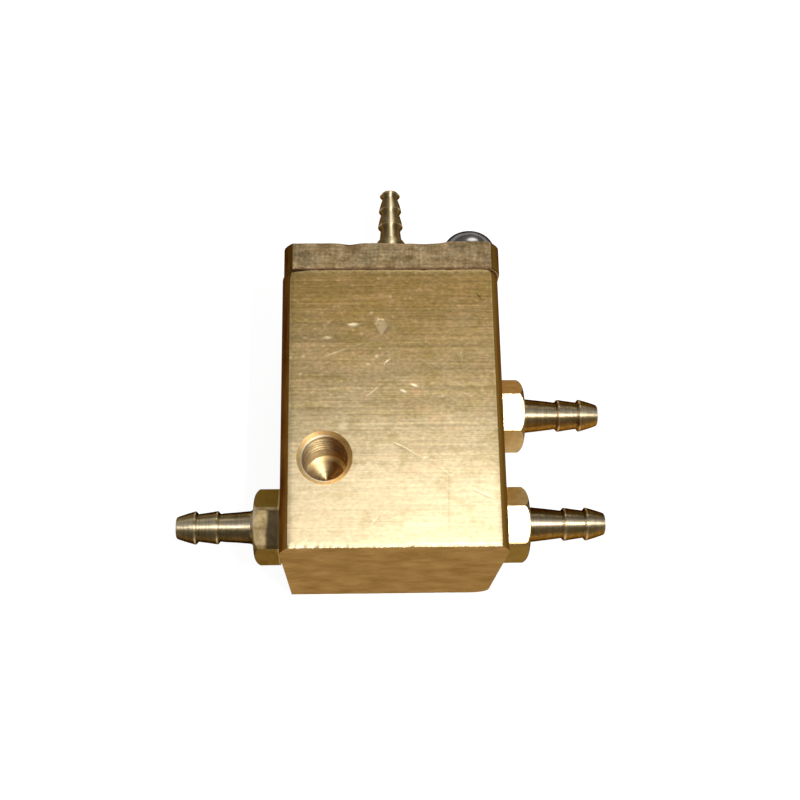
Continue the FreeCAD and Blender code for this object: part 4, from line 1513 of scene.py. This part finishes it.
front_screw = round_head_screw("front_cap_screw")
screws = (front_screw, copy_of(front_screw, "rear_cap_screw"))
front_lock = lock_washer("front_lock_washer")
locks = (front_lock, copy_of(front_lock, "rear_lock_washer"))
for pieces, slot, node in (
    (screws, "plated_steel", "cap_screw"),
    (locks, "spring_steel", "spring_washer"),
):
    for piece, end, (x, z) in zip(pieces, ("front", "rear"), SCREW_PLACES):
        put(piece, upright(x, cap_high.y, z))
        smooth(piece)
        finish_piece(piece, slot, f"{node}_{end}")

# %% [markdown]
# ## Pieces kept from the CAD model
#
# The pieces inside the block have the right shape already. They keep their meshes
# and only get the better materials.

# %% Finishes of the inner pieces
INNER_FINISH = {
    "cap_seal_ring": moulded_rubber,
    "seat_bush": pilot_brass,
    "bush_ring_lower": moulded_rubber,
    "bush_ring_upper": moulded_rubber,
    "gland_ring": moulded_rubber,
    "gland_cover": pilot_brass,
    "valve_stem": ground_steel,
    "piston": pilot_brass,
    "piston_seal_ring": moulded_rubber,
    "piston_nut": ground_steel,
    "poppet": pilot_brass,
    "poppet_seal": moulded_rubber,
}
for name, finish in INNER_FINISH.items():
    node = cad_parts[name]
    node.data.materials.clear()
    node.data.materials.append(finish)
print(len(INNER_FINISH), "inner pieces finished")

# %% [markdown]
# The return spring gets shorter when the spindle moves down. A rigid coil would
# be cut by the poppet, so a copy of the coil, with a mesh of its own, stands in for it.

# %% Return spring
spring = bpy.data.objects.new("coil_spring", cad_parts["return_spring"].data.copy())
bpy.context.scene.collection.objects.link(spring)
edit(spring)
select_all()
bpy.ops.mesh.remove_doubles(threshold=DOUBLES * MM)
leave_edit()
spring.data.materials.clear()
spring.data.materials.append(spring_steel)
smooth(spring, 50)
finish_piece(spring, "spring_steel", "return_spring")
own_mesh(spring)

# %% [markdown]
# ## Table
#
# The photograph has a white ground with hardly any shadow. The table is a grey
# surface that also glows, but only for the rays by which the camera sees it, or
# its reflection in the metal. So it comes out white without more light on the
# brass.

# %% Table
FLOOR_SIZE = 6.0
FLOOR_GLOW = 0.92


def make_table():
    material, tree, output, place = new_material("white_table")
    grain = stretched_noise(tree, place, (2 * MM,) * 3, 3.0)
    colour = mixed(tree, grain, linear("#929292"), linear("#949494"))
    paint = add_node(tree, "ShaderNodeBsdfDiffuse", {"Color": colour, "Roughness": 0.4})
    rays = add_node(tree, "ShaderNodeLightPath").outputs
    seen = rays["Is Camera Ray"]
    for kind in ("Is Glossy Ray", "Is Transmission Ray"):
        both = {0: seen, 1: rays[kind]}
        seen = add_node(tree, "ShaderNodeMath", both, operation="MAXIMUM").outputs[0]
    shine = add_node(tree, "ShaderNodeEmission", {"Strength": weighted(tree, 0.0, seen, FLOOR_GLOW)})
    both = add_node(tree, "ShaderNodeAddShader", {0: paint.outputs[0], 1: shine.outputs[0]})
    tree.links.new(both.outputs[0], output.inputs["Surface"])
    return material


bpy.ops.object.select_all(action="DESELECT")
bpy.ops.mesh.primitive_circle_add(
    vertices=64, radius=FLOOR_SIZE / 2, fill_type="NGON", location=(0, 0, -0.02 * MM)
)
table = bpy.context.object
table.name = table.data.name = "table"
bpy.ops.object.transform_apply(location=True, rotation=True, scale=True)
table.data.materials.append(make_table())
print("table", FLOOR_SIZE, "m wide")

# %% [markdown]
# ## Light
#
# A small lamp stands near the lens, to its right, as a flash does: its reflection
# makes the bright lines along the stems and the glow at the bottom right of the
# front face. A wide, weak lamp far beyond the cap stands for a window and puts a
# spot on the screw's dome. A grey world fills the rest.

# %% Light
WORLD_GREY = 0.22


def disk_lamp(name, place, aim, width, height, power):
    """Elliptic area lamp, its width along X and its height across that, never seen itself."""
    data = bpy.data.lights.new(name, "AREA")
    data.shape = "ELLIPSE"
    data.size, data.size_y = width * MM, height * MM
    data.energy = power
    new = bpy.data.objects.new(name, data)
    bpy.context.scene.collection.objects.link(new)
    back = (Vector(place) - Vector(aim)).normalized()
    side = Vector((0, 1, 0)).cross(back).normalized()
    turn = Matrix((side, back.cross(side), back)).transposed().to_4x4()
    new.matrix_world = Matrix.Translation(Vector(place) * MM) @ turn
    new.visible_camera = False
    print(name, power, "W")


disk_lamp("flash_lamp", (25, -38, 189), (2, -2, 20), 8, 44, power=0.20)
disk_lamp("far_window", (131, 501, 387), (11, 27, 33), 380, 180, power=0.55)

world = bpy.data.worlds.new("grey_room")
bpy.context.scene.world = world
world.use_nodes = True
world.node_tree.nodes.clear()
room = {"Color": (1, 1, 1, 1), "Strength": WORLD_GREY}
room = add_node(world.node_tree, "ShaderNodeBackground", room)
add_node(world.node_tree, "ShaderNodeOutputWorld", {"Surface": room.outputs[0]})
print("world", WORLD_GREY)
